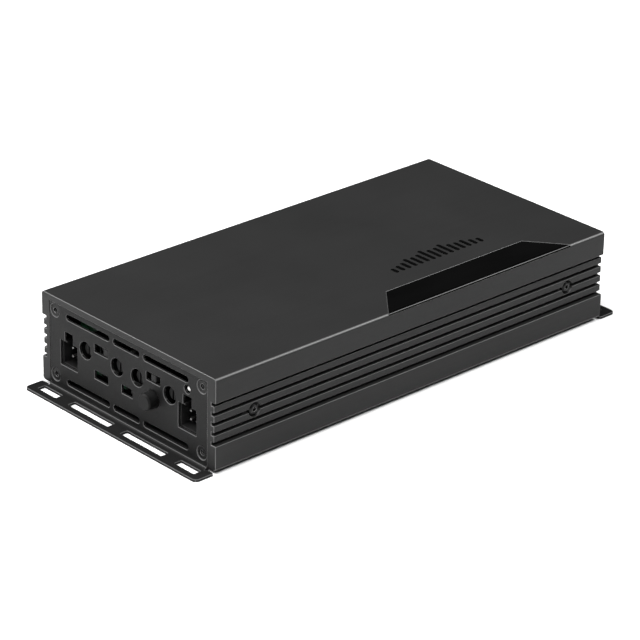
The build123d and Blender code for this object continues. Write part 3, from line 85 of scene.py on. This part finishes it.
class Finish:
    """One procedural material: a Principled shader, and short ways to feed it."""

    def __init__(self, name, **values):
        self.material = bpy.data.materials.new(name)
        self.material.use_nodes = True
        self.tree = self.material.node_tree
        self.shader = self.tree.nodes["Principled BSDF"]
        self.place = self.tree.nodes.new("ShaderNodeTexCoord").outputs["Object"]
        self.normal = None
        self.feed(**values)

    def feed(self, **values):
        """Sets or links inputs of the shader: base_color=..., roughness=... and so on."""
        for key, value in values.items():
            name = INPUT_NAMES[key]
            if isinstance(value, bpy.types.NodeSocket):
                self.tree.links.new(value, self.shader.inputs[name])
            else:
                self.shader.inputs[name].default_value = value

    def node(self, kind, links=None, **settings):
        made = self.tree.nodes.new(kind)
        for key, value in settings.items():
            setattr(made, key, value)
        for key, value in (links or {}).items():
            if isinstance(value, bpy.types.NodeSocket):
                self.tree.links.new(value, made.inputs[key])
            else:
                made.inputs[key].default_value = value
        return made

    def stretched(self, stretch):
        """Object coordinates, squeezed along each axis so that a pattern runs longer there."""
        scale = tuple(1 / s for s in stretch)
        return self.node("ShaderNodeMapping", {"Vector": self.place, "Scale": scale}).outputs[0]

    def noise(self, size, detail=3.0, stretch=(1, 1, 1)):
        """Noise from 0 to 1 whose blotches are about size metres across."""
        where = self.stretched(stretch)
        links = {"Vector": where, "Scale": 1 / size, "Detail": detail}
        return self.node("ShaderNodeTexNoise", links).outputs["Fac"]

    def cells(self, size):
        """Distance to the nearest of many scattered points, which lie about size metres apart."""
        links = {"Vector": self.place, "Scale": 1 / size}
        return self.node("ShaderNodeTexVoronoi", links).outputs["Distance"]

    def level(self, value, low, high, out_low=0.0, out_high=1.0):
        """Maps value from low..high to out_low..out_high, clamped."""
        links = {
            "Value": value, "From Min": low, "From Max": high,
            "To Min": out_low, "To Max": out_high,
        }
        return self.node("ShaderNodeMapRange", links).outputs["Result"]

    def maths(self, operation, a, b=0.0):
        return self.node("ShaderNodeMath", {0: a, 1: b}, operation=operation).outputs[0]

    def mix(self, amount, a, b):
        """Mixes two colours. Inputs 6 and 7 and output 2 are the node's colour sockets."""
        mixer = self.node("ShaderNodeMix", data_type="RGBA")
        for socket, value in ((0, amount), (6, a), (7, b)):
            if isinstance(value, bpy.types.NodeSocket):
                self.tree.links.new(value, mixer.inputs[socket])
            else:
                mixer.inputs[socket].default_value = value
        return mixer.outputs[2]

    def soften_edges(self, radius):
        """Rounds edges in the shading, and returns a mask that is 1 on them."""
        bevel = self.node("ShaderNodeBevel", {"Radius": radius}, samples=BEVEL_SAMPLES)
        self.normal = bevel.outputs[0]
        true_normal = self.node("ShaderNodeNewGeometry").outputs["Normal"]
        links = {0: self.normal, 1: true_normal}
        dot = self.node("ShaderNodeVectorMath", links, operation="DOT_PRODUCT").outputs["Value"]
        return self.level(dot, 0.98, 0.78)

    def leaning(self, low=0.04, high=0.24):
        """Mask that is 1 on chamfers and rounded corners, whose normals lean off the axes."""
        normal = self.node("ShaderNodeNewGeometry").outputs["True Normal"]
        parts = self.node("ShaderNodeSeparateXYZ", {"Vector": normal}).outputs
        x, y, z = [self.maths("ABSOLUTE", part) for part in parts]
        most = self.maths("MAXIMUM", self.maths("MAXIMUM", x, y), z)
        return self.level(most, 1.0 - low, 1.0 - high)

    def bump(self, height, depth, strength=1.0):
        """Adds relief that is depth metres high."""
        links = {"Height": height, "Distance": depth, "Strength": strength}
        if self.normal is not None:
            links["Normal"] = self.normal
        self.normal = self.node("ShaderNodeBump", links).outputs[0]

    def done(self):
        if self.normal is not None:
            self.tree.links.new(self.normal, self.shader.inputs["Normal"])
        return self.material


def grey(value, tint=(1.0, 1.0, 1.0)):
    return (value * tint[0], value * tint[1], value * tint[2], 1.0)


TUBE_BLACK = 0.0165
TUBE_SPECULAR = 0.12
# share of pale grey on the tube's edges: partly wear, partly a painted highlight
TUBE_EDGE_WEAR_AND_HIGHLIGHT = 0.45
CORNER_HIGHLIGHT = 0.90      # how far corners lighten, as a painted highlight


def anodised_aluminium():
    """Black anodising over an extrusion: fine sanded grain, faint die lines, edges paled partly by
    wear and partly as a painted highlight, corners paled as a painted highlight.
    """
    f = Finish("anodised_aluminium", metallic=0.0, specular=TUBE_SPECULAR)
    edge_mask = f.soften_edges(0.35 * MM)
    grain = f.noise(0.16 * MM, detail=4)
    die_lines = f.noise(0.5 * MM, detail=5, stretch=(1, 260, 1))
    cloud = f.noise(46 * MM, detail=2)
    tone = f.mix(f.level(cloud, 0.3, 0.7), grey(TUBE_BLACK * 0.92), grey(TUBE_BLACK * 1.08))
    streaked = f.mix(f.level(die_lines, 0.35, 0.75, 0, 0.35), tone, grey(TUBE_BLACK * 1.3))
    patchy = f.level(f.noise(3.5 * MM, detail=5), 0.40, 0.62)
    # edges paled in patches: partly wear, partly a painted highlight
    edge_wear_and_highlight = f.maths("MULTIPLY", edge_mask, f.level(patchy, 0, 1, 0.25, 1.0))
    edge_wear_and_highlight = f.maths("MULTIPLY", edge_wear_and_highlight, TUBE_EDGE_WEAR_AND_HIGHLIGHT)
    colour = f.mix(edge_wear_and_highlight, streaked, grey(0.33, (1.0, 0.99, 0.97)))
    lean = f.leaning()
    # corners and chamfers lightened to grey: a painted highlight
    colour = f.mix(f.maths("MULTIPLY", lean, CORNER_HIGHLIGHT), colour, grey(0.15))
    satin = f.level(grain, 0.3, 0.7, 0.32, 0.44)
    f.feed(base_color=colour, roughness=f.maths("SUBTRACT", satin, f.maths("MULTIPLY", lean, 0.12)))
    f.bump(die_lines, 0.010 * MM, 0.5)
    f.bump(grain, 0.012 * MM, 0.8)
    return f.done()


SHEET_BLACK = (0.0072, 0.0092)      # darkest and palest grey of the clouded coat
# shares of grey painted on the sheet's edges, and on its chamfers and fold, as a painted highlight
SHEET_EDGE_HIGHLIGHT = 0.80
SHEET_RIM_HIGHLIGHT = 0.60


def powder_coat():
    """Satin black powder coat on folded steel: a fine orange peel with stray specks, and edges,
    chamfers and the fold lightened as a painted highlight.
    """
    f = Finish("powder_coat", specular=0.11)
    edge_mask = f.soften_edges(0.42 * MM)
    peel = f.noise(0.55 * MM, detail=2)
    sand = f.noise(0.12 * MM, detail=3)
    cloud = f.noise(22 * MM, detail=2)
    colour = f.mix(f.level(cloud, 0.3, 0.7), grey(SHEET_BLACK[0]), grey(SHEET_BLACK[1]))
    # edges lightened to grey: a painted highlight
    colour = f.mix(f.maths("MULTIPLY", edge_mask, SHEET_EDGE_HIGHLIGHT), colour, grey(0.21))
    # chamfers and the middle of the fold lightened to grey, outside the countersinks: a painted
    # highlight
    painted_rim_highlight = f.maths("MULTIPLY", f.leaning(0.20, 0.28), outside_countersinks(f))
    colour = f.mix(f.maths("MULTIPLY", painted_rim_highlight, SHEET_RIM_HIGHLIGHT), colour, grey(0.15))
    dust = f.level(f.cells(2.6 * MM), 0.03, 0.055, 0.4, 0.0)
    colour = f.mix(f.maths("MULTIPLY", dust, 0.35), colour, grey(0.12))
    f.feed(base_color=colour, roughness=f.level(peel, 0.3, 0.7, 0.42, 0.56))
    f.bump(peel, 0.020 * MM, 0.7)
    f.bump(sand, 0.008 * MM, 0.5)
    return f.done()


SCREW_HEAD_R = 2.8 * MM
COUNTERSINK_EDGE = (2.95 * MM, 3.10 * MM)   # radii between which the mask goes from 0 to 1


def outside_countersinks(f):
    """Mask that is 0 inside the panel screws' countersinks and 1 outside them."""
    low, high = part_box("control_panel_screws")
    half_x = high.x - SCREW_HEAD_R
    middle_z = (low.z + high.z) / 2
    half_z = (high.z - low.z) / 2 - SCREW_HEAD_R
    where = f.node("ShaderNodeNewGeometry").outputs["Position"]
    x, _, z = f.node("ShaderNodeSeparateXYZ", {"Vector": where}).outputs
    from_x = f.maths("SUBTRACT", f.maths("ABSOLUTE", x), half_x)
    from_z = f.maths("SUBTRACT", f.maths("ABSOLUTE", f.maths("SUBTRACT", z, middle_z)), half_z)
    square_x = f.maths("MULTIPLY", from_x, from_x)
    square_z = f.maths("MULTIPLY", from_z, from_z)
    from_screw = f.maths("SQRT", f.maths("ADD", square_x, square_z))
    return f.level(from_screw, *COUNTERSINK_EDGE)


def gloss_plastic():
    """Piano-black acrylic: deep, clear, with hairline polishing marks and faint smears."""
    f = Finish("gloss_plastic", specular=0.10)
    f.soften_edges(0.12 * MM)
    smear = f.noise(14 * MM, detail=4, stretch=(1, 3, 1))
    hairs = f.noise(0.22 * MM, detail=6, stretch=(1, 60, 1))
    haze = f.level(smear, 0.35, 0.72, 0.09, 0.17)
    marks = f.level(hairs, 0.62, 0.75, 0.0, 0.08)
    f.feed(base_color=f.mix(f.level(smear, 0.3, 0.7), grey(0.0010), grey(0.0018)))
    f.feed(roughness=f.maths("ADD", haze, marks))
    f.bump(hairs, 0.0015 * MM, 0.5)
    return f.done()


def blackened_steel():
    """Black zinc on cold-headed screws, with edges and the socket's rim lightened as a painted
    highlight, partly rubbed wear.
    """
    f = Finish("blackened_steel", metallic=0.6, specular=0.2)
    edge_mask = f.soften_edges(0.26 * MM)
    blotch = f.noise(1.3 * MM, detail=4)
    colour = f.mix(f.level(blotch, 0.35, 0.7), grey(0.008), grey(0.016))
    # edges lightened to pale grey: a painted highlight, partly rubbed wear
    colour = f.mix(f.maths("MULTIPLY", edge_mask, 0.85), colour, grey(0.40))
    f.feed(base_color=colour, roughness=f.level(blotch, 0.3, 0.7, 0.28, 0.46))
    f.bump(f.noise(0.15 * MM), 0.006 * MM, 0.6)
    return f.done()


def zinc_steel():
    """Bright zinc plate with a faint yellow-blue bloom."""
    f = Finish("zinc_steel", metallic=1.0)
    f.soften_edges(0.10 * MM)
    bloom = f.level(f.noise(2.2 * MM, detail=3), 0.35, 0.65)
    f.feed(base_color=f.mix(bloom, grey(0.56, (1.0, 0.97, 0.88)), grey(0.6, (0.93, 0.97, 1.0))))
    f.feed(roughness=f.level(f.noise(0.4 * MM, detail=4), 0.3, 0.7, 0.22, 0.42))
    f.bump(f.noise(0.12 * MM), 0.005 * MM, 0.5)
    return f.done()


def mill_aluminium():
    """Bare extruded bar: long drawing marks and a dull bloom."""
    f = Finish("mill_aluminium", metallic=1.0, anisotropic=0.4)
    f.soften_edges(0.20 * MM)
    drawn = f.noise(0.35 * MM, detail=6, stretch=(1, 180, 1))
    bloom = f.noise(18 * MM, detail=3)
    f.feed(base_color=f.mix(f.level(bloom, 0.3, 0.7), grey(0.58), grey(0.68, (0.98, 0.99, 1.0))))
    f.feed(roughness=f.level(drawn, 0.3, 0.7, 0.30, 0.50))
    f.bump(drawn, 0.010 * MM, 0.8)
    return f.done()


def circuit_board():
    """Green solder mask over copper tracks, with pads showing as a rough grid."""
    f = Finish("circuit_board", specular=0.5, coat=0.3, coat_roughness=0.25)
    f.soften_edges(0.10 * MM)
    blocks = f.node(
        "ShaderNodeTexBrick",
        {"Vector": f.place, "Scale": 1 / (5.2 * MM), "Mortar Size": 0.10,
         "Brick Width": 0.9, "Row Height": 0.42},
        offset=0.37, squash=0.6, squash_frequency=3,
    ).outputs["Fac"]
    fibre = f.noise(0.45 * MM, detail=3)
    mask = f.mix(f.level(fibre, 0.3, 0.7), (0.004, 0.030, 0.012, 1), (0.006, 0.042, 0.017, 1))
    f.feed(base_color=f.mix(blocks, mask, (0.010, 0.075, 0.030, 1)))
    f.feed(roughness=f.level(fibre, 0.3, 0.7, 0.26, 0.42))
    f.bump(blocks, 0.035 * MM, 0.7)
    f.bump(fibre, 0.010 * MM, 0.5)
    return f.done()


def moulded(name, colour, roughness=0.5, spark=0.02, specular=0.4):
    """Spark-eroded mould texture on nylon or ABS: dimples of about 0.2 mm, dulled in patches."""
    f = Finish(name, specular=specular)
    edge_mask = f.soften_edges(0.15 * MM)
    dimples = f.noise(0.20 * MM, detail=3)
    patch = f.noise(6 * MM, detail=3)
    pale = tuple(min(1.0, c * 1.25 + 0.004) for c in colour[:3]) + (1.0,)
    base = f.mix(f.level(patch, 0.3, 0.7), colour, pale)
    rubbed = tuple(min(1.0, c * 2.2 + 0.02) for c in colour[:3]) + (1.0,)
    f.feed(base_color=f.mix(f.maths("MULTIPLY", edge_mask, 0.35), base, rubbed))
    f.feed(roughness=f.level(patch, 0.3, 0.7, roughness - 0.06, roughness + 0.08))
    f.bump(dimples, spark * MM, 0.7)
    return f.done()


def milky_lens():
    """Diffused light-emitting diode: milky epoxy, unlit."""
    f = Finish("milky_lens", specular=0.5)
    f.soften_edges(0.10 * MM)
    cloud = f.noise(0.9 * MM, detail=2)
    f.feed(base_color=f.mix(f.level(cloud, 0.3, 0.7), grey(0.66), grey(0.80, (1.0, 0.99, 0.96))))
    f.feed(roughness=f.level(cloud, 0.3, 0.7, 0.16, 0.26))
    f.bump(cloud, 0.004 * MM, 0.4)
    return f.done()


def tinned_brass():
    """Tin over brass, dulled, with brass showing where a terminal has rubbed."""
    f = Finish("tinned_brass", metallic=1.0)
    edge_mask = f.soften_edges(0.08 * MM)
    rubbed = f.noise(0.8 * MM, detail=5, stretch=(1, 4, 1))
    tin = f.mix(f.level(rubbed, 0.35, 0.65), grey(0.15, (1, 0.98, 0.95)), grey(0.24))
    brass = f.mix(f.maths("MULTIPLY", edge_mask, 0.7), tin, (0.34, 0.25, 0.13, 1))
    f.feed(base_color=brass, roughness=f.level(rubbed, 0.3, 0.7, 0.36, 0.54))
    f.bump(rubbed, 0.006 * MM, 0.6)
    return f.done()


def enamelled_copper():
    """Magnet wire: copper under clear orange enamel, with drawn streaks."""
    f = Finish("enamelled_copper", metallic=0.9, coat=0.8, coat_roughness=0.12)
    streaks = f.noise(0.5 * MM, detail=4)
    colour = f.mix(f.level(streaks, 0.3, 0.7), (0.34, 0.10, 0.035, 1), (0.52, 0.19, 0.07, 1))
    f.feed(base_color=colour)
    f.feed(roughness=f.level(streaks, 0.3, 0.7, 0.22, 0.38))
    f.bump(streaks, 0.008 * MM, 0.6)
    return f.done()


def ferrite():
    """Pressed powder core under a matt blue-green epoxy."""
    f = Finish("ferrite", specular=0.35)
    edge_mask = f.soften_edges(0.30 * MM)
    powder = f.noise(0.35 * MM, detail=5)
    body = f.mix(f.level(powder, 0.3, 0.7), (0.018, 0.045, 0.040, 1), (0.028, 0.065, 0.056, 1))
    f.feed(base_color=f.mix(f.maths("MULTIPLY", edge_mask, 0.5), body, (0.10, 0.10, 0.09, 1)))
    f.feed(roughness=f.level(powder, 0.3, 0.7, 0.55, 0.75))
    f.bump(powder, 0.05 * MM, 0.8)
    return f.done()


def shrink_sleeve():
    """Capacitor sleeve: shrunk film, satin, with the fine wrinkles that shrinking leaves."""
    f = Finish("shrink_sleeve", specular=0.5, coat=0.35, coat_roughness=0.2)
    f.soften_edges(0.30 * MM)
    wrinkle = f.noise(1.6 * MM, detail=3, stretch=(1, 1, 6))
    colour = f.mix(f.level(wrinkle, 0.3, 0.7), (0.010, 0.012, 0.022, 1), (0.018, 0.022, 0.038, 1))
    f.feed(base_color=colour)
    f.feed(roughness=f.level(wrinkle, 0.3, 0.7, 0.26, 0.42))
    f.bump(wrinkle, 0.03 * MM, 0.6)
    return f.done()


def silicone_pad():
    """Fibre-filled thermal pad: matt, with the weave of its glass cloth."""
    f = Finish("silicone_pad", specular=0.3)
    weave = f.cells(0.55 * MM)
    colour = f.mix(f.level(weave, 0.1, 0.6), grey(0.42, (0.95, 1, 1)), grey(0.30, (0.9, 0.98, 1)))
    f.feed(base_color=colour)
    f.feed(roughness=f.level(weave, 0.1, 0.6, 0.60, 0.80))
    f.bump(weave, 0.03 * MM, 0.7)
    return f.done()


def clear_fuse_plastic():
    """Tinted see-through fuse body with flow marks."""
    f = Finish("clear_fuse_plastic", specular=0.5, transmission=0.35)
    f.soften_edges(0.20 * MM)
    flow = f.noise(2.4 * MM, detail=3, stretch=(1, 1, 3))
    f.feed(base_color=f.mix(f.level(flow, 0.3, 0.7), (0.62, 0.20, 0.015, 1), (0.78, 0.30, 0.03, 1)))
    f.feed(roughness=f.level(flow, 0.3, 0.7, 0.12, 0.26))
    f.bump(flow, 0.02 * MM, 0.5)
    return f.done()


FINISHES = {
    "anodised_tube": anodised_aluminium(),
    "coated_sheet": powder_coat(),
    "gloss_inlay": gloss_plastic(),
    "black_steel": blackened_steel(),
    "plated_steel": zinc_steel(),
    "plain_aluminium": mill_aluminium(),
    "circuit_board": circuit_board(),
    "black_nylon": moulded("black_nylon", grey(0.006), roughness=0.46, specular=0.25),
    "moulded_case": moulded("moulded_case", grey(0.012), roughness=0.55),
    "button_black": moulded(
        "button_black", grey(0.0040), roughness=0.42, spark=0.012, specular=0.09
    ),
    "grey_slider": moulded("grey_slider", grey(0.011), roughness=0.45, specular=0.10),
    "grey_rotor": moulded("grey_rotor", grey(0.007), roughness=0.48, specular=0.14),
    "white_lens": milky_lens(),
    "tinned_brass": tinned_brass(),
    "copper_wire": enamelled_copper(),
    "ferrite": ferrite(),
    "capacitor_sleeve": shrink_sleeve(),
    "silicone_pad": silicone_pad(),
    "fuse_plastic": clear_fuse_plastic(),
    "spring_steel": zinc_steel(),
}


def paint(piece, slot_name):
    """Gives a mesh its finish, in place of whatever it came with."""
    piece.data.materials.clear()
    piece.data.materials.append(FINISHES[slot_name])


# ---------------------------------------------------------------- camera, floor and light
VIEW_AZIMUTH = math.radians(46.987)
VIEW_ELEVATION = math.radians(25.230)
VIEW_ROLL = math.radians(1.137)
VIEW_DISTANCE = 1453.0 * MM
VIEW_LENS = 177.03                 # focal length and sensor width, both in millimetres
VIEW_SENSOR = 36.0
VIEW_RIGHT = -3.8066 * MM          # aim beside the centre of the tube's underside
VIEW_UP = 12.4341 * MM
TUBE_LOW = 1.6 * MM


def make_camera():
    a, e, r = VIEW_AZIMUTH, VIEW_ELEVATION, VIEW_ROLL
    back = Vector((math.sin(a) * math.cos(e), -math.cos(a) * math.cos(e), math.sin(e)))
    level_right = Vector((math.cos(a), math.sin(a), 0.0))
    level_up = back.cross(level_right)
    right = math.cos(r) * level_right + math.sin(r) * level_up
    up = math.cos(r) * level_up - math.sin(r) * level_right
    place = right * VIEW_RIGHT + up * VIEW_UP + back * VIEW_DISTANCE + Vector((0, 0, TUBE_LOW))
    data = bpy.data.cameras.new("camera")
    data.lens = VIEW_LENS
    data.sensor_width = VIEW_SENSOR
    data.clip_start = 0.05
    data.clip_end = 40.0
    camera = bpy.data.objects.new("camera", data)
    turned = Matrix((right, up, back)).transposed().to_4x4()
    camera.matrix_world = Matrix.Translation(place) @ turned
    bpy.context.scene.collection.objects.link(camera)
    bpy.context.scene.camera = camera


def make_floor():
    """A pale studio floor, faintly mottled, just under the feet."""
    half = 6.0
    mesh = bpy.data.meshes.new("studio_floor")
    corners = [(-half, -half), (half, -half), (half, half), (-half, half)]
    mesh.from_pydata([(x, y, cad_low.z - 0.05 * MM) for x, y in corners], [], [(0, 1, 2, 3)])
    floor = bpy.data.objects.new("studio_floor", mesh)
    bpy.context.scene.collection.objects.link(floor)
    f = Finish("studio_paper", roughness=0.9, specular=0.1)
    f.feed(base_color=f.mix(f.noise(0.4, detail=2), grey(0.86), grey(0.90)))
    mesh.materials.append(f.done())


# (name, direction from the object, distance, size, watts)
SOFTBOXES = (
    ("overhead_softbox", (0.05, -0.40, 1.0), 1.0, (1.2, 1.0), 20),
    ("front_left_softbox", (-0.66, -0.43, 0.62), 1.3, (0.6, 0.6), 12),
    ("rear_right_softbox", (0.43, 0.62, 0.66), 1.2, (0.45, 0.22), 9),
)


def soft_light(name, direction, distance, size, power):
    """A softbox that faces the object from direction."""
    data = bpy.data.lights.new(name, "AREA")
    data.shape = "RECTANGLE"
    data.size, data.size_y = size
    data.energy = power
    light = bpy.data.objects.new(name, data)
    towards = Vector(direction).normalized()
    light.location = towards * distance
    light.rotation_mode = "QUATERNION"
    light.rotation_quaternion = (-towards).to_track_quat("-Z", "Y")
    bpy.context.scene.collection.objects.link(light)


ROOM_LIGHT = 0.035          # grey of the room, as every ray but the camera's own meets it


def make_world():
    """White behind the object, and a dim grey room for reflections."""
    world = bpy.data.worlds.new("studio")
    bpy.context.scene.world = world
    world.use_nodes = True
    nodes, links = world.node_tree.nodes, world.node_tree.links
    background = nodes["Background"]
    ray = nodes.new("ShaderNodeLightPath")
    tone = nodes.new("ShaderNodeMix")
    tone.data_type = "RGBA"
    links.new(ray.outputs["Is Camera Ray"], tone.inputs[0])
    tone.inputs[6].default_value = grey(ROOM_LIGHT)
    tone.inputs[7].default_value = grey(1.0)
    links.new(tone.outputs[2], background.inputs["Color"])


# ---------------------------------------------------------------- the mark on the top
MARK_BARS = 15
MARK_BAR_SHARE = 0.56              # width of a bar as a share of the pitch
MARK_FROM_INLAY = (11.5 * MM, 23.0 * MM)    # near and far side, from the inlay's inner edge
MARK_ALONG_INLAY = (32.0 * MM, 90.0 * MM)   # first and last bar, from the inlay's -Y end


def level_bars():
    """A plain row of level bars, printed thick and glossy beside the inlay."""
    inlay_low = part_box("accent_inlay")[0]
    tube_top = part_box("housing_tube")[1].z
    back_x = inlay_low.x - MARK_FROM_INLAY[1]
    front_x = inlay_low.x - MARK_FROM_INLAY[0]
    first_y = inlay_low.y + MARK_ALONG_INLAY[0]
    last_y = inlay_low.y + MARK_ALONG_INLAY[1]
    pitch = (last_y - first_y) / MARK_BARS
    bar_width = pitch * MARK_BAR_SHARE
    print_depth = 0.08 * MM
    mesh = bmesh.new()
    for i in range(MARK_BARS):
        # the bars swell towards the middle, and every third one stands tallest
        swell = math.sin(math.pi * (i + 0.5) / MARK_BARS)
        ripple = 0.5 + 0.5 * math.cos(2 * math.pi * i / 3)
        tall = (front_x - back_x) * (0.35 + 0.65 * swell * (0.6 + 0.4 * ripple))
        middle_y = first_y + pitch * (i + 0.5)
        rounded_bar(mesh, front_x - tall, front_x, middle_y, bar_width, tube_top, print_depth)
    return piece_from("level_bar_mark", mesh)


def rounded_bar(mesh, low_x, high_x, middle_y, width, base_z, depth):
    """A flat bar along X with round ends, sunk a little into the surface that it is printed on."""
    radius = width / 2
    steps = 8
    outline = []
    for centre_x, start in ((high_x - radius, -90.0), (low_x + radius, 90.0)):
        for k in range(steps + 1):
            turn = math.radians(start + 180.0 * k / steps)
            outline.append((centre_x + radius * math.cos(turn), middle_y + radius * math.sin(turn)))
    rows = []
    # height and inset of each ring: sunk edge, shoulder, top
    for z, shrink in ((-0.25 * depth, 0.0), (0.7 * depth, 0.0), (depth, 0.3 * depth)):
        row = []
        for x, y in outline:
            away = Vector((x - (low_x + high_x) / 2, y - middle_y, 0)).normalized()
            row.append(mesh.verts.new((x - away.x * shrink, y - away.y * shrink, base_z + z)))
        rows.append(row)
    for lower, upper in zip(rows, rows[1:]):
        for k in range(len(outline)):
            following = (k + 1) % len(outline)
            mesh.faces.new((lower[k], lower[following], upper[following], upper[k]))
    mesh.faces.new(rows[-1])
    mesh.faces.new(list(reversed(rows[0])))


SPRING_WIRE_R = 0.20 * MM
SPRING_TURNS = 5


def return_spring():
    """Open coil with closed end turns in the CAD spring's place, and its fixed end's centre."""
    low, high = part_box("push_spring")
    centre_x = (low.x + high.x) / 2
    centre_z = (low.z + high.z) / 2
    coil = (high.x - low.x) / 2 - SPRING_WIRE_R
    front_y = low.y + SPRING_WIRE_R
    back_y = high.y - SPRING_WIRE_R
    steps = 240
    sides = 10
    dead = 0.12                # share of the turns at each end that lie almost flat
    flat_share = 0.2           # share of the length that those turns take up
    rings = []
    mesh = bmesh.new()
    for i in range(steps + 1):
        t = i / steps
        along = min(1.0, max(0.0, (t - dead) / (1 - 2 * dead)))
        flat = min(t, dead) + max(0.0, t - (1 - dead))
        share = along * (1 - flat_share) + flat / (2 * dead) * flat_share
        y = back_y + (front_y - back_y) * share
        turn = 2 * math.pi * SPRING_TURNS * t
        outward = Vector((math.cos(turn), 0, math.sin(turn)))
        middle = Vector((centre_x, y, centre_z)) + outward * coil
        ring = []
        for k in range(sides):
            angle = 2 * math.pi * k / sides
            offset = outward * math.cos(angle) + Vector((0, 1, 0)) * math.sin(angle)
            ring.append(mesh.verts.new(middle + offset * SPRING_WIRE_R))
        rings.append(ring)
    for first, second in zip(rings, rings[1:]):
        for k in range(sides):
            following = (k + 1) % sides
            mesh.faces.new((first[k], first[following], second[following], second[k]))
    mesh.faces.new(list(reversed(rings[0])))
    mesh.faces.new(rings[-1])
    bmesh.ops.recalc_face_normals(mesh, faces=mesh.faces)
    for face in mesh.faces:
        face.smooth = True
    return piece_from("return_spring", mesh), Vector((centre_x, back_y, centre_z))


def piece_from(name, mesh):
    data = bpy.data.meshes.new(name)
    mesh.to_mesh(data)
    mesh.free()
    piece = bpy.data.objects.new(name, data)
    bpy.context.scene.collection.objects.link(piece)
    return piece


# ---------------------------------------------------------------- putting it together
for part in frame["record"]["subparts"]:
    paint(frame["nodes"][part["node"]], part["material_slot"])

mark = level_bars()
paint(mark, "gloss_inlay")
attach(mark, "case")

spring, spring_seat = return_spring()
paint(spring, "spring_steel")
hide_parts("push_spring")
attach(spring, "case")
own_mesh(spring)

make_floor()
make_world()
for softbox in SOFTBOXES:
    soft_light(*softbox)
make_camera()
bpy.context.scene.view_settings.view_transform = "Standard"
